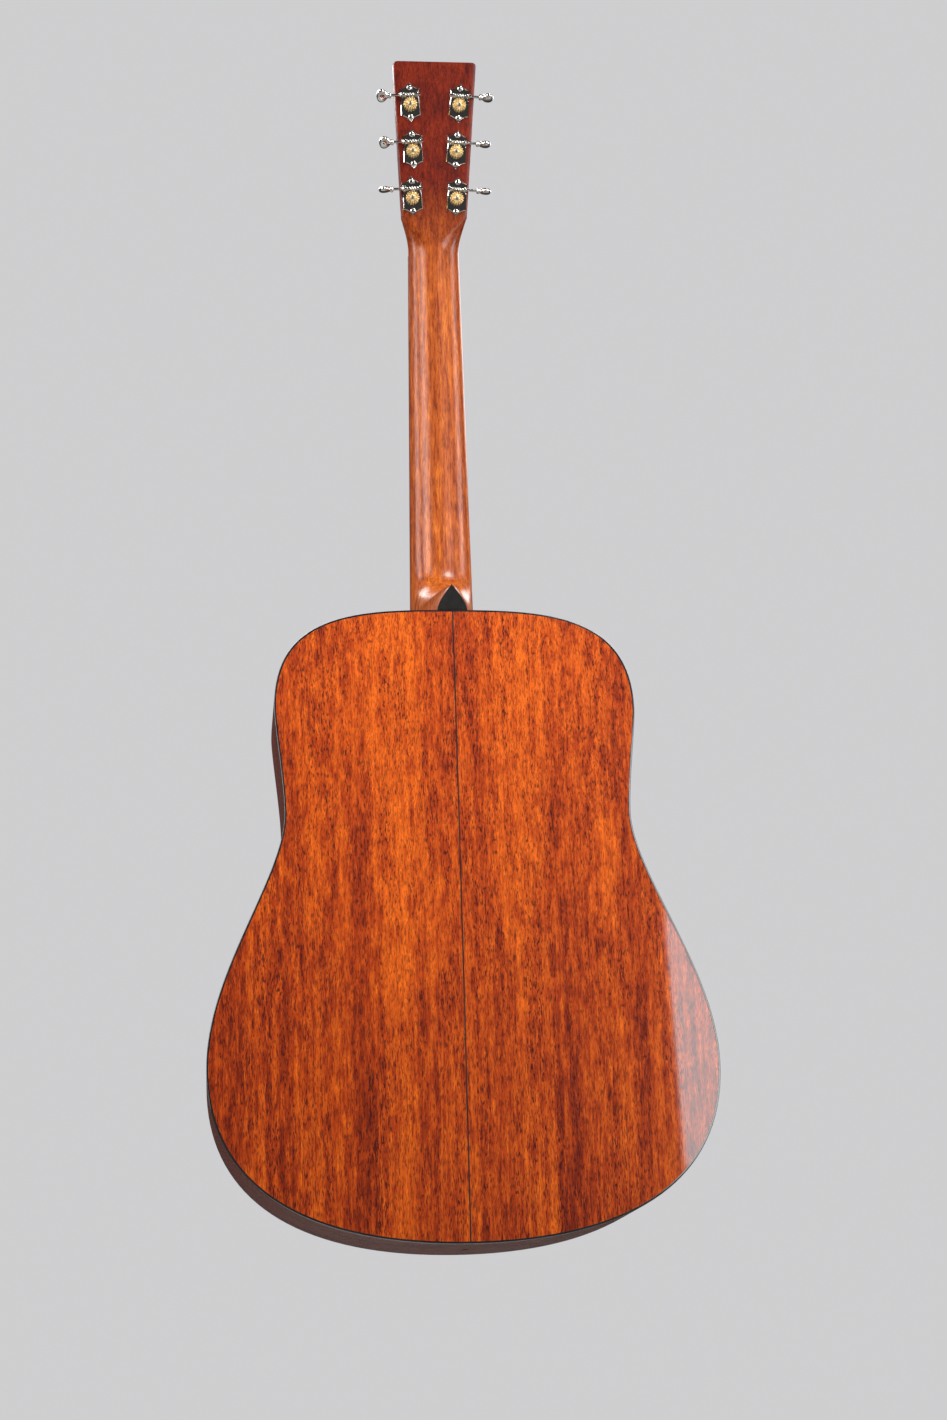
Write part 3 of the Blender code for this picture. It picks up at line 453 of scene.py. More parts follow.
def inset(outline, distance):
    # a flat outline of (a, b) moved inwards, whichever way round it runs
    area = sum(a[0] * b[1] - b[0] * a[1] for a, b in zip(outline, outline[1:] + outline[:1]))
    sign = 1 if area > 0 else -1
    sharpest, farthest = 0.35, 1.6   # hold a pointed corner back
    moved = []
    for before, here, after in zip(outline[-1:] + outline[:-1], outline, outline[1:] + outline[:1]):
        first = (Vector(here) - Vector(before)).normalized()
        second = (Vector(after) - Vector(here)).normalized()
        inward = Vector((-first.y - second.y, first.x + second.x)) * sign
        size = max(inward.length, sharpest)
        moved.append(tuple(Vector(here) + inward / size * distance * min(2.0 / size, farthest)))
    return moved


def addSlab(name, outline, near, far, edge, place, finish, **options):
    # a flat shape cut from sheet, with its edges eased; the outline is (x, z) and the depths are y
    inner = inset(outline, edge)
    rings = [(inner, near), (outline, near + edge), (outline, far - edge), (inner, far)]
    points = [place @ Vector((x, y, z)) for ring, y in rings for x, z in ring]
    return addPiece(name, points, ringFaces(4, len(outline)), finish, **options)


def addTurned(name, profile, place, finish, segments=36, **options):
    # turned about the local z axis; the profile is (radius, height) and starts and ends on the axis
    points, faces = [place @ Vector((0, 0, profile[0][1]))], []
    for radius, height in profile[1:-1]:
        for step in range(segments):
            angle = 2 * math.pi * step / segments
            points.append(place @ Vector((radius * math.cos(angle), radius * math.sin(angle), height)))
    points.append(place @ Vector((0, 0, profile[-1][1])))
    rows = len(profile) - 2
    for step in range(segments):
        after = (step + 1) % segments
        faces.append((0, 1 + step, 1 + after))
        for row in range(rows - 1):
            here, there = 1 + row * segments, 1 + (row + 1) * segments
            faces.append((here + step, there + step, there + after, here + after))
        last = 1 + (rows - 1) * segments
        faces.append((last + step, len(points) - 1, last + after))
    return addPiece(name, points, faces, finish, **options)


def addTube(name, path, radius, finish, segments=10, **options):
    path = [Vector(point) for point in path]
    rings = []
    normal = None
    for index, point in enumerate(path):
        before, after = path[max(index - 1, 0)], path[min(index + 1, len(path) - 1)]
        tangent = (after - before).normalized()
        if normal is None:
            normal = tangent.orthogonal().normalized()
        normal = (normal - tangent * normal.dot(tangent)).normalized()
        other = tangent.cross(normal)
        angles = [2 * math.pi * step / segments for step in range(segments)]
        rings.append([point + (normal * math.cos(a) + other * math.sin(a)) * radius for a in angles])
    return addSkin(name, rings, finish, **options)


def smoothLoop(corners, steps=8):
    # a closed smooth curve through (a, b) corners
    count, loop = len(corners), []
    for index in range(count):
        a, b, c, d = (Vector(corners[(index + shift) % count]) for shift in (-1, 0, 1, 2))
        for step in range(steps):
            t = step / steps
            loop.append(tuple(0.5 * (2 * b + (c - a) * t + (2 * a - 5 * b + 4 * c - d) * t * t
                                     + (3 * b - a - 3 * c + d) * t ** 3)))
    return loop


def cutWith(item, cutters):
    # takes the cutters out of a solid and puts the result in its mesh
    for cutter in cutters:
        modifier = item.modifiers.new(cutter.name, "BOOLEAN")
        modifier.operation = "DIFFERENCE"
        modifier.solver = "EXACT"
        modifier.object = cutter
    bpy.context.view_layer.update()
    shaped = bpy.data.meshes.new_from_object(item.evaluated_get(bpy.context.evaluated_depsgraph_get()))
    item.modifiers.clear()
    item.data = shaped
    shaped.set_sharp_from_angle(angle=math.radians(35))
    for cutter in cutters:
        bpy.data.objects.remove(cutter)


still = Matrix.Identity(4)
backwards = Matrix.Rotation(-math.pi / 2, 4, "X")   # local +z to the guitar's +y
forwards = Matrix.Rotation(math.pi / 2, 4, "X")     # local +z to the guitar's -y


bodyShape = {
    "length": 0.508,
    "curves": (
        ((0, 0), (0.1274, 0), (0.1986, 0.0468), (0.1986, 0.1361)),
        ((0.1986, 0.1361), (0.1986, 0.2103), (0.1375, 0.2852), (0.1375, 0.3365)),
        ((0.1375, 0.3365), (0.1375, 0.3618), (0.1451, 0.4092), (0.1451, 0.4246)),
        ((0.1451, 0.4246), (0.1451, 0.508), (0.0721, 0.508), (0, 0.508)),
    ),
    "tailDepth": 0.1238,
    "neckEndDepth": 0.0984,
    "archAcross": 4.6,
    "archAlong": 0.005,
    "steps": 34,
    "neckStop": (3, 0.95),      # bindings and rims stop beside the tenon
    "seamStop": (3, 0.998),     # the plates and the back's binding run to the centre line
}
backLook = {"thickness": 0.0025, "across": 20, "centreStrip": 0.0006, "stripSunk": 0.00004}
edgeLook = {"bindingWidth": 0.0016, "bindingHeight": 0.0050, "round": 0.0005, "rimThickness": 0.0020,
            "endPinHeight": 0.061, "endPinHole": 0.0043}


def outlinePoint(curve, t, inward=0.0, side=1):
    a, b, c, d = (Vector(point) for point in bodyShape["curves"][curve])
    s = 1 - t
    point = a * s ** 3 + b * 3 * s * s * t + c * 3 * s * t * t + d * t ** 3
    slope = (b - a) * s * s + (c - b) * 2 * s * t + (d - c) * t * t
    point += Vector((-slope.y, slope.x)).normalized() * inward
    return Vector((side * point.x, point.y))


def backDepth(x, z):
    t = z / bodyShape["length"]
    fall = bodyShape["neckEndDepth"] - bodyShape["tailDepth"]
    centre = bodyShape["tailDepth"] + fall * t + 4 * bodyShape["archAlong"] * t * (1 - t)
    return centre - x * x / (2 * bodyShape["archAcross"])


def edgeStations(last):
    steps = bodyShape["steps"]
    stations = [(curve, step / steps) for curve in range(4) for step in range(steps)][1:]
    return [(0, 0.0004), (0, 0.01)] + [station for station in stations if station < last] + [last]


def edgePath(last, sides=(-1, 1)):
    # stations from one side's neck end, round the tail, to the other's
    stations = edgeStations(last)
    if sides == (-1, 1):
        return [(*station, -1) for station in stations[::-1]] + [(*station, 1) for station in stations]
    return [(*station, sides[0]) for station in stations]


def outlineZ(x):
    # height of the outline's neck end at a distance from the centre line
    low, high = 0.5, 1.0
    while high - low > 1e-5:
        middle = (low + high) / 2
        low, high = (middle, high) if outlinePoint(3, middle).x > x else (low, middle)
    return outlinePoint(3, low).y


def makeBack():
    thick, count, start = backLook["thickness"], backLook["across"], backLook["centreStrip"]
    stations = edgeStations(bodyShape["seamStop"])
    rows = [outlinePoint(*station, edgeLook["bindingWidth"]) for station in stations]
    for name, side in (("backHalfBass", -1), ("backHalfTreble", 1)):
        rings = []
        for half, z in rows:
            half = max(half, start + 0.001)
            xs = [side * (start + (half - start) * step / count) for step in range(count + 1)]
            rings.append([(x, backDepth(x, z), z) for x in xs]
                         + [(x, backDepth(x, z) - thick, z) for x in reversed(xs)])
        addSkin(name, rings, "backMahogany", slot="back_wood", replaces=["back"])
    rings = []
    for _, z in rows:
        near = backDepth(0, z) - backLook["stripSunk"]
        far = near - thick + 0.0001
        rings.append([(-start, near, z), (start, near, z), (start, far, z), (-start, far, z)])
    addSkin("backCentreStrip", rings, "stripRosewood", slot="binding_black", replaces=["back"])


def bindingRing(station, outward, inward, face, foot):
    # a strip's section: its face side is rounded on the outer corner
    curve, t, side = station
    edge = outlinePoint(curve, t, 0, side)
    step = outlinePoint(curve, t, 1, side) - edge
    soft = edgeLook["round"]
    top, bottom = face(*edge), foot(*edge)
    turn = 1 if top > bottom else -1
    section = [(outward, bottom)]
    for part in range(5):
        angle = math.pi / 2 * part / 4
        section.append((outward + soft * (1 - math.cos(angle)), top - turn * soft * (1 - math.sin(angle))))
    section += [(inward, top), (inward, bottom)]
    return [(edge.x + step.x * across, depth, edge.y + step.y * across) for across, depth in section]


def makeEdges():
    width, height = edgeLook["bindingWidth"], edgeLook["bindingHeight"]
    rings = [bindingRing(station, 0, width, backDepth, lambda x, z: backDepth(x, z) - height)
             for station in edgePath(bodyShape["seamStop"])]
    addSkin("backBinding", rings, "blackBinding", closed=True, slot="binding_black",
            replaces=["binding_back"])
    rings = [bindingRing(station, 0, width, lambda x, z: 0.0, lambda x, z: height)
             for station in edgePath(bodyShape["neckStop"])]
    addSkin("topBinding", rings, "blackBinding", slot="binding_black", replaces=["binding_top"])
    for name, side in (("Bass", -1), ("Treble", 1)):
        makeRim(name, side)


def makeRim(name, side):
    thick, near, layers = edgeLook["rimThickness"], edgeLook["bindingHeight"], 6
    rings = []
    for curve, t, which in edgePath(bodyShape["neckStop"], (side,)):
        x0, z0 = outlinePoint(curve, t, 0, which)
        x1, z1 = outlinePoint(curve, t, thick, which)
        far = backDepth(x0, z0) - near
        depths = [near + (far - near) * part / layers for part in range(layers + 1)]
        rings.append([(x0, y, z0) for y in depths] + [(x1, y, z1) for y in reversed(depths)])
    rim = addSkin(f"rim{name}", rings, "rimMahogany", slot="rim_wood", replaces=[f"rim_{name.lower()}"])
    hole, reach = edgeLook["endPinHole"], 0.01
    place = Matrix.Translation((0, edgeLook["endPinHeight"], 0))
    cutWith(rim, [addTurned("endPinCut", [(0, -reach), (hole, -reach), (hole, reach), (0, reach)], place,
                            "rimMahogany", body=None)])


topLook = {
    "thickness": 0.0028,
    "hole": (0.3585, 0.0508),   # height of its centre, radius
    "rings": ((0, 0), (0.35, 0), (0.7, 0), (0.9, 0), (1, 0.0002)),   # from the edge to the hole, depth
    "rosette": (
        (0.0535, 0.0540, "rosetteWhite"), (0.0540, 0.0546, "blackBinding"), (0.0570, 0.0574, "blackBinding"),
        (0.0574, 0.0580, "rosetteWhite"), (0.0580, 0.0586, "blackBinding"), (0.0586, 0.0592, "rosetteWhite"),
        (0.0592, 0.0596, "blackBinding"), (0.0626, 0.0632, "blackBinding"), (0.0632, 0.0637, "rosetteWhite")),
    "rosetteFoot": 0.0004,
    "rosetteProud": 0.00004,
    "rosetteSteps": 96,
}


def makeSoundboard():
    centre, radius = topLook["hole"]
    stations = edgePath(bodyShape["seamStop"])
    edge = [outlinePoint(curve, t, edgeLook["bindingWidth"], side) for curve, t, side in stations]
    rings = []
    for part, depth in topLook["rings"] + ((1, topLook["thickness"]), (0, topLook["thickness"])):
        ring = []
        for x, z in edge:
            angle = math.atan2(z - centre, x)
            hole = Vector((radius * math.cos(angle), centre + radius * math.sin(angle)))
            spot = Vector((x, z)).lerp(hole, part)
            ring.append((spot.x, depth, spot.y))
        rings.append(ring)
    addSkin("soundboardTop", rings, "topMahogany", closed=True, slot="top_wood", replaces=["soundboard"])
    foot, proud, steps = topLook["rosetteFoot"], -topLook["rosetteProud"], topLook["rosetteSteps"]
    for number, (inner, outer, finish) in enumerate(topLook["rosette"]):
        rings = []
        for step in range(steps):
            angle = 2 * math.pi * step / steps
            rings.append([(part * math.cos(angle), y, centre + part * math.sin(angle))
                          for part, y in ((inner, foot), (inner, proud), (outer, proud), (outer, foot))])
        addSkin(f"rosetteRing{number + 1}", rings, finish, closed=True, slot="binding_black")


pickguardLook = {"thickness": 0.0007, "gap": 0.00003, "edge": 0.0002, "corners": (
    (0.017, 0.3015), (0.036, 0.3105), (0.0515, 0.3275), (0.0590, 0.3490), (0.0580, 0.3720),
    (0.0650, 0.3850), (0.0850, 0.3790), (0.1030, 0.3500), (0.1130, 0.3100), (0.1090, 0.2680),
    (0.0900, 0.2390), (0.0620, 0.2345), (0.0400, 0.2500), (0.0230, 0.2760))}


def makePickguard():
    look = pickguardLook
    addSlab("pickguard", smoothLoop(look["corners"]), -look["thickness"], -look["gap"], look["edge"], still,
            "tortoise", slot="binding_black")


boardLook = {
    "end": 0.418,
    "thickness": 0.0062,
    "radius": 0.406,
    "scale": 0.6452,
    "bodyFret": 14,
    "corner": 0.0005,
    "frets": 20,
    "fretHeight": 0.0011,
    "fretHalf": 0.0012,
    "dots": {3: 1, 5: 1, 7: 1, 9: 1, 12: 2, 15: 1, 17: 1},
    "dotRadius": 0.0030,
    "twelfthDots": 0.0120,
    "sideDot": 0.0010,
    "sideDotDepth": 0.0034,
}
bodyRatio = 2 ** (boardLook["bodyFret"] / 12)
neckShape = {
    "root": bodyShape["length"],
    "start": 0.5083,            # the wood stands just clear of the body
    "nutZ": bodyShape["length"] + boardLook["scale"] / bodyRatio * (bodyRatio - 1),
    "nutWidth": 0.0446,
    "widthAtBody": 0.0541,
    "depthAtNut": 0.0140,
    "depthAtHeel": 0.0170,
    "heelDepth": 0.0957,
    "heelHalf": 0.01225,
    "heelTop": 0.530,
    "capLength": 0.022,
    "heelCurve": 0.055,
    "halfPoints": 22,
}
headShape = {
    "lean": math.radians(15),
    "length": 0.1623,
    "shoulder": (0.0257, 0.0286),   # distance up from the nut, half width
    "bend": (0.016, 0.120),   # how far the curve into the headstock reaches each way, its radius
    "topHalf": 0.0366,
    "corner": 0.0035,
    "thickness": 0.0135,
    "round": 0.0011,
    "veneer": 0.0016,
}
headZ = neckShape["nutZ"] + 0.0055 + 0.0006
headPlace = Matrix.Translation((0, 0, headZ)) @ Matrix.Rotation(-headShape["lean"], 4, "X")


def neckHalf(z):
    share = (z - neckShape["root"]) / (neckShape["nutZ"] - neckShape["root"])
    return (neckShape["widthAtBody"] + (neckShape["nutWidth"] - neckShape["widthAtBody"]) * share) / 2


def capHalf(z):
    t = (z - neckShape["root"]) / neckShape["capLength"]
    return neckShape["heelHalf"] * (1 - min(max(t, 0.0), 1.0) ** 1.53)


def neckSection(z):
    side, count, heel = neckHalf(z), neckShape["halfPoints"], neckShape["heelDepth"]
    angles = [math.pi / 2 * step / count for step in range(count + 1)]

    def width(y):
        return side + (neckShape["heelHalf"] - side) * y / heel

    if z < neckShape["heelTop"]:
        foot = capHalf(z) / neckShape["heelHalf"]
        section = []
        for angle in angles:
            y = heel * math.sin(angle)
            section.append((width(y) * math.sqrt(max(1 - (y / heel) ** 2 * (1 - foot * foot), 0.0)), y))
        return section + [(0.0, heel)]
    share = (z - neckShape["root"]) / (neckShape["nutZ"] - neckShape["root"])
    shaft = neckShape["depthAtHeel"] + (neckShape["depthAtNut"] - neckShape["depthAtHeel"]) * share
    rise = max(0.0, 1 - (z - neckShape["heelTop"]) / neckShape["heelCurve"])
    depth = shaft + (heel - shaft) * rise ** 4.2 + bendDepth(headZ - z)
    section = [(width(depth * math.sin(a)) * math.cos(a), depth * math.sin(a)) for a in angles]
    return section + [(0.0, depth)]


def headHalf(s):
    rise, half = headShape["shoulder"]
    neck = neckHalf(neckShape["nutZ"])
    if s < rise:
        return neck + (half - neck) * (s / rise) ** 1.5
    half += (headShape["topHalf"] - half) * (s - rise) / (headShape["length"] - rise)
    over = s - headShape["length"] + headShape["corner"]
    if over > 0:
        half -= headShape["corner"] - math.sqrt(max(headShape["corner"] ** 2 - over ** 2, 0.0))
    return half


def bendDepth(distance):
    # wood left in the hollow where the neck bends into the headstock
    reach, radius = headShape["bend"]
    return max(0.0, reach - distance) ** 2 / (2 * radius)


def headSection(s):
    # the neck's round back flattens into the headstock, down to a small round at its edges
    half, thick, soft = headHalf(s), headShape["thickness"] + bendDepth(s), headShape["round"]
    share = min(max((s + 0.006) / 0.036, 0.0), 1.0)
    flat = share * share * (3 - 2 * share)
    wide, deep = half + (soft - half) * flat, thick + (soft - thick) * flat
    wallEnd, flatStart = 0.35 * flat, 1 - 0.40 * flat
    count, section = neckShape["halfPoints"], []
    for step in range(count + 1):
        t = step / count
        if t < wallEnd:
            section.append((half, (thick - deep) * t / wallEnd))
        elif t <= flatStart:
            angle = math.pi / 2 * (t - wallEnd) / (flatStart - wallEnd)
            section.append((half - wide * (1 - math.cos(angle)), thick - deep * (1 - math.sin(angle))))
        else:
            section.append(((half - wide) * (1 - t) / (1 - flatStart), thick))
    return section + [(0.0, thick)]


def fullRing(section, origin, lean, lift=None):
    both = section + [(-x, y) for x, y in reversed(section[:-2])]
    ring = []
    for x, y in both:
        z = origin[1] - y * math.sin(lean)
        ring.append((x, origin[0] + y * math.cos(lean), z if lift is None else min(z, lift(abs(x)))))
    return ring


neckStations = {   # where the neck's sections lie; in the bend, how far below the nut and how many degrees
    "heel": (0.0010, 0.545),    # step between sections, and the height where it widens
    "curve": (0.0030, 0.600),
    "shaft": 0.012,
    "bend": ((0.016, 0.5), (0.012, 1.5), (0.009, 3.0), (0.006, 5.5), (0.003, 8.5), (0.0, 11.5)),
    "head": (0.0, 0.003, 0.006, 0.009, 0.012, 0.015, 0.018, 0.021, 0.0235, headShape["shoulder"][0],
             0.028, 0.031, 0.035, 0.040),
    "corner": (1, 0.8, 0.6, 0.4, 0.25, 0.1, 0.02, 0),
    "tenon": (0.010, 0.493, 0.5085),   # half width, and the heights of its ends
}


def makeNeck():
    look = neckStations
    start = neckShape["start"]
    rings = [fullRing(neckSection(start), (0, start), 0, lambda x: outlineZ(x) + 0.0003)]
    z = 0.509
    while z < neckShape["nutZ"] - 0.020:
        rings.append(fullRing(neckSection(z), (0, z), 0))
        z += next((step for step, until in (look["heel"], look["curve"]) if z < until), look["shaft"])
    for drop, lean in look["bend"]:
        z = neckShape["nutZ"] - drop
        rings.append(fullRing(neckSection(z), (0, z), math.radians(lean)))
    marks = list(look["head"])
    marks += [marks[-1] + 0.0105 * step for step in range(1, 12)]
    corner = [headShape["length"] - headShape["corner"] * part for part in look["corner"]]
    for s in [s for s in marks if s < corner[0]] + corner:
        origin = (s * math.sin(headShape["lean"]), headZ + s * math.cos(headShape["lean"]))
        rings.append(fullRing(headSection(s), origin, headShape["lean"]))
    neck = addSkin("neckWood", rings, "neckMahogany", slot="neck_wood", replaces=["neck"])
    cutWith(neck, [postCut(number) for number in range(6)])
    half, low, high = look["tenon"]
    addSlab("neckTenon", [(-half, low), (half, low), (half, high), (-half, high)], 0.0031, 0.090, 0.0004,
            still, "neckMahogany", slot="neck_wood")


capLook = {"near": 0.0959, "far": 0.0980, "edge": 0.0004, "length": 0.985, "tipHalf": 0.00045}


def makeHeelCap():
    length = neckShape["capLength"] * capLook["length"]
    steps = [neckShape["start"] + length * (step / 26) for step in range(27)]
    right = [(max(capHalf(z), capLook["tipHalf"]), z) for z in steps]
    outline = right + [(-x, z) for x, z in reversed(right)]
    addSlab("heelCap", outline, capLook["near"], capLook["far"], capLook["edge"], still, "heelCapBlack",
            slot="heel_cap_black", replaces=["heel_cap"])


def makeHeadplate():
    thick, gap = headShape["veneer"], 0.0001
    steps = [0.0015 + 0.0025 * step for step in range(9)] + [0.0222 + 0.012 * step for step in range(1, 12)]
    corner = [headShape["length"] - headShape["corner"] * part for part in (1, 0.7, 0.4, 0.2, 0.05, 0)]
    steps = [s for s in steps if s < corner[0]] + corner
    right = [(headHalf(s), s) for s in steps]
    outline = right + [(-x, s) for x, s in reversed(right)]
    veneer = addSlab("headVeneer", outline, -gap - thick, -gap, 0.0003, headPlace, "plateRosewood",
                     slot="headplate_wood", replaces=["headplate"])
    cutWith(veneer, [postCut(number) for number in range(6)])


def boardFace(x):
    return -(boardLook["thickness"] - x * x / (2 * boardLook["radius"]))


def fretZ(number):
    return neckShape["nutZ"] - boardLook["scale"] * (1 - 2 ** (-number / 12))


def makeFingerboard():
    start, soft, foot = boardLook["end"], boardLook["corner"], -0.0001
    rings = []
    zs = [start + (neckShape["nutZ"] - start) * step / 24 for step in range(25)]
    for z in [zs[0]] + zs:
        half = neckHalf(z)
        back = 0.0004 if not rings else 0.0   # the first ring eases the end's edge
        xs = [(half - soft) * (1 - step / 8) for step in range(17)]
        side = boardFace(half) + soft
        face = [(x, boardFace(x) + back, z) for x in xs]
        rings.append([(-half, foot, z), (half, foot, z), (half, side, z)] + face + [(-half, side, z)])
    addSkin("fingerboardSlab", rings, "fingerboardEbony", slot="fingerboard_wood", replaces=["fingerboard"])


def makeFrets():
    wires = []
    for number in range(1, boardLook["frets"] + 1):
        z = fretZ(number)
        half, reach, sunk = neckHalf(z) - 0.0002, boardLook["fretHalf"], 0.0004
        rings = []
        for step in range(19):
            x = half * (step / 9 - 1)
            drop = 0.0005 if step in (0, 18) else 0.0001 if step in (1, 17) else 0.0
            ring = [(x, boardFace(x) + sunk, z - reach * 0.9)]
            for part in range(9):
                angle = math.pi * part / 8
                rise = (boardLook["fretHeight"] - drop) * math.sin(angle) ** 0.7 if 0 < part < 8 else 0.0
                ring.append((x, boardFace(x) - rise, z - reach * math.cos(angle)))
            ring.append((x, boardFace(x) + sunk, z + reach * 0.9))
            rings.append(ring)
        wires.append(addSkin(f"fret{number}", rings, "fretNickel", body=None))
    merge("fretWires", wires, "root")


def makeDots():
    radius, small, apart = boardLook["dotRadius"], boardLook["sideDot"], boardLook["twelfthDots"]
    dots = []
    for number, count in boardLook["dots"].items():
        z = (fretZ(number) + fretZ(number - 1)) / 2
        for x in ((0.0,) if count == 1 else (-apart, apart)):
            place = Matrix.Translation((x, boardFace(x) + 0.0001, z)) @ forwards
            profile = [(0, 0.00016), (radius * 0.97, 0.00016), (radius, -0.0002), (0, -0.0002)]
            dots.append(addTurned("dot", profile, place, "pearlDot", 28, body=None))
        place = Matrix.Translation((-neckHalf(z) + 0.0002, -boardLook["sideDotDepth"], z))
        place = place @ Matrix.Rotation(-math.pi / 2, 4, "Y")
        profile = [(0, 0.00024), (small, 0.00024), (small, -0.0003), (0, -0.0003)]
        dots.append(addTurned("sideDot", profile, place, "pearlDot", 16, body=None))
    merge("markerDots", dots, "root")


stringRadii = (0.00067, 0.00053, 0.0004, 0.0003, 0.0002, 0.00016)
nutLook = {
    "top": 0.0077,
    "spacing": 0.0073,
    "rings": ((0.0002, 0.0003), (0.0005, 0.0), (0.0016, 0.00015), (0.0040, 0.0013), (0.0055, 0.0022),
              (0.0058, 0.0026)),   # distance past the board's end, drop below the top
    "slotRoom": 0.0002,
    "slotDepth": 0.0002,
    "corner": (0.0008, 0.0006),
    "steps": 150,
}


def stringOffset(number, spacing):
    # how far a string is from the centre line
    return (number - 2.5) * spacing


def makeNut():
    half, end, count = neckHalf(neckShape["nutZ"]), neckShape["nutZ"], nutLook["steps"]
    reach, depth = nutLook["corner"]
    rings = []
    for z, drop in nutLook["rings"]:
        crest = []
        for step in range(count + 1):
            x = half * (2 * step / count - 1)
            y = -nutLook["top"] + x * x / (2 * boardLook["radius"]) + drop
            for number, radius in enumerate(stringRadii):
                if abs(x - stringOffset(number, nutLook["spacing"])) < radius + nutLook["slotRoom"]:
                    y += nutLook["slotDepth"]
            y += depth * max(0.0, 1 - (half - abs(x)) / reach) ** 2
            crest.append((x, y, end + z))
        rings.append([(-half, -0.0001, end + z)] + crest + [(half, -0.0001, end + z)])
    addSkin("boneNut", rings, "boneWhite", slot="bone", replaces=["nut"])


bridgeLook = {
    "half": 0.076,
    "low": 0.1965,
    "high": 0.2285,
    "top": 0.0080,
    "corner": 0.0012,
    "belly": (0.008, 0.060),     # how far it swells towards the tail, and over what half width
    "tip": (0.066, 0.010, 0.006),    # where the ends start to round, over what length, how far
    "wing": (0.044, 0.018, 0.0048),  # where the wings start to thin, over what length, how far
    "spacing": 0.0108,
    "pinZ": 0.2030,
    "pinDepth": 0.0082,
    "saddleZ": 0.2180,
    "saddleHalf": 0.036,
    "saddleThickness": 0.0024,
    "saddleTop": 0.0106,
    "saddleFoot": 0.0043,
    "slant": math.radians(3.2),
}
saddleTurn = Matrix.Rotation(-bridgeLook["slant"], 4, "Y")
saddlePlace = Matrix.Translation((0, 0, bridgeLook["saddleZ"])) @ saddleTurn


def bridgeEdges(x):
    # the tail side, the neck side and the height of the bridge at a distance from its middle
    reach = abs(x)
    swell, swellHalf = bridgeLook["belly"]
    belly = swell * 0.5 * (1 + math.cos(math.pi * min(reach / swellHalf, 1)))
    start, length, fall = bridgeLook["tip"]
    end = max(0.0, (reach - start) / length)
    wingStart, wingLength, wingFall = bridgeLook["wing"]
    wing = min(max((reach - wingStart) / wingLength, 0.0), 1.0)
    height = bridgeLook["top"] - wingFall * (3 * wing ** 2 - 2 * wing ** 3)
    return bridgeLook["low"] - belly + fall * end * end, bridgeLook["high"] - fall * end * end, height


def makeBridge():
    soft = bridgeLook["corner"]
    turns = [math.pi / 2 * part / 4 for part in range(5)]
    rings = []
    for step in range(61):
        x = bridgeLook["half"] * math.sin(math.pi / 2 * (step / 30 - 1))
        low, high, height = bridgeEdges(x)
        corner = [(height - soft * (1 - math.sin(a)), soft * (1 - math.cos(a))) for a in turns]
        lowSide = [(x, -rise, low + back) for rise, back in corner]
        highSide = [(x, -rise, high - back) for rise, back in reversed(corner)]
        rings.append([(x, -0.0001, low)] + lowSide + highSide + [(x, -0.0001, high)])
    bridge = addSkin("bridgeBlock", rings, "bridgeEbony", slot="bridge_wood", replaces=["bridge"])
    reach, thick = bridgeLook["saddleHalf"] + 0.0002, bridgeLook["saddleThickness"] / 2 + 0.00005
    outline = [(-reach, -thick), (reach, -thick), (reach, thick), (-reach, thick)]
    cutters = [addSlab("saddleCut", outline, -0.03, -0.0040, 0.0002, saddlePlace, "bridgeEbony", body=None)]
    profile = [(0, 0.02), (0.0034, 0.02), (0.0034, 0.0076), (0.0029, 0.0070), (0.0026, -0.002), (0, -0.002)]
    for number in range(6):
        x = stringOffset(number, bridgeLook["spacing"])
        place = Matrix.Translation((x, 0, bridgeLook["pinZ"])) @ forwards
        cutters.append(addTurned(f"pinCut{number}", profile, place, "bridgeEbony", 28, body=None))
    cutWith(bridge, cutters)


def makeSaddle():
    end, half = bridgeLook["saddleHalf"], bridgeLook["saddleThickness"] / 2
    xs = [end * (step / 15 - 1) for step in range(31)]
    rings = []
    for z, drop in ((-half, 0.0010), (-half * 0.7, 0.00045), (-half * 0.25, 0.0), (half * 0.25, 0.0),
                    (half * 0.75, 0.0002), (half, 0.0006)):
        crest = []
        for x in xs:
            endDrop = 0.0022 * max(0.0, 1 - (end - abs(x)) / 0.003) ** 2
            top = -bridgeLook["saddleTop"] + x * x / (2 * boardLook["radius"])
            crest.append(saddlePlace @ Vector((x, top + drop + endDrop, z)))
        low, high = (saddlePlace @ Vector((x, -bridgeLook["saddleFoot"], z)) for x in (-end, end))
        rings.append([low] + crest + [high])
    addSkin("boneSaddle", rings, "boneWhite", slot="bone", replaces=["saddle"])


def makePins():
    profile = [(0, 0.0036), (0.0010, 0.0036), (0.0019, 0.0033), (0.0027, 0.0027), (0.0033, 0.0019),
               (0.0036, 0.0011), (0.0035, 0.0006), (0.0030, 0.0003), (0.0025, 0.0), (0.00235, -0.0005),
               (0.0021, -0.0200), (0.0014, -0.0214), (0, -0.0220)]
    dotProfile = [(0, 0.00375), (0.00105, 0.00372), (0.00120, 0.0034), (0, 0.0030)]
    for number in range(6):
        x = stringOffset(number, bridgeLook["spacing"])
        place = Matrix.Translation((x, -bridgeLook["pinDepth"], bridgeLook["pinZ"])) @ forwards
        pin = addTurned("pin", profile, place, "pinBlack", 28, body=None)
        dot = addTurned("pinDot", dotProfile, place, "pearlDot", 20, body=None)
        merge(f"bridgePin{number + 1}", [pin, dot], "root", [f"bridge_pin_{number + 1}"])


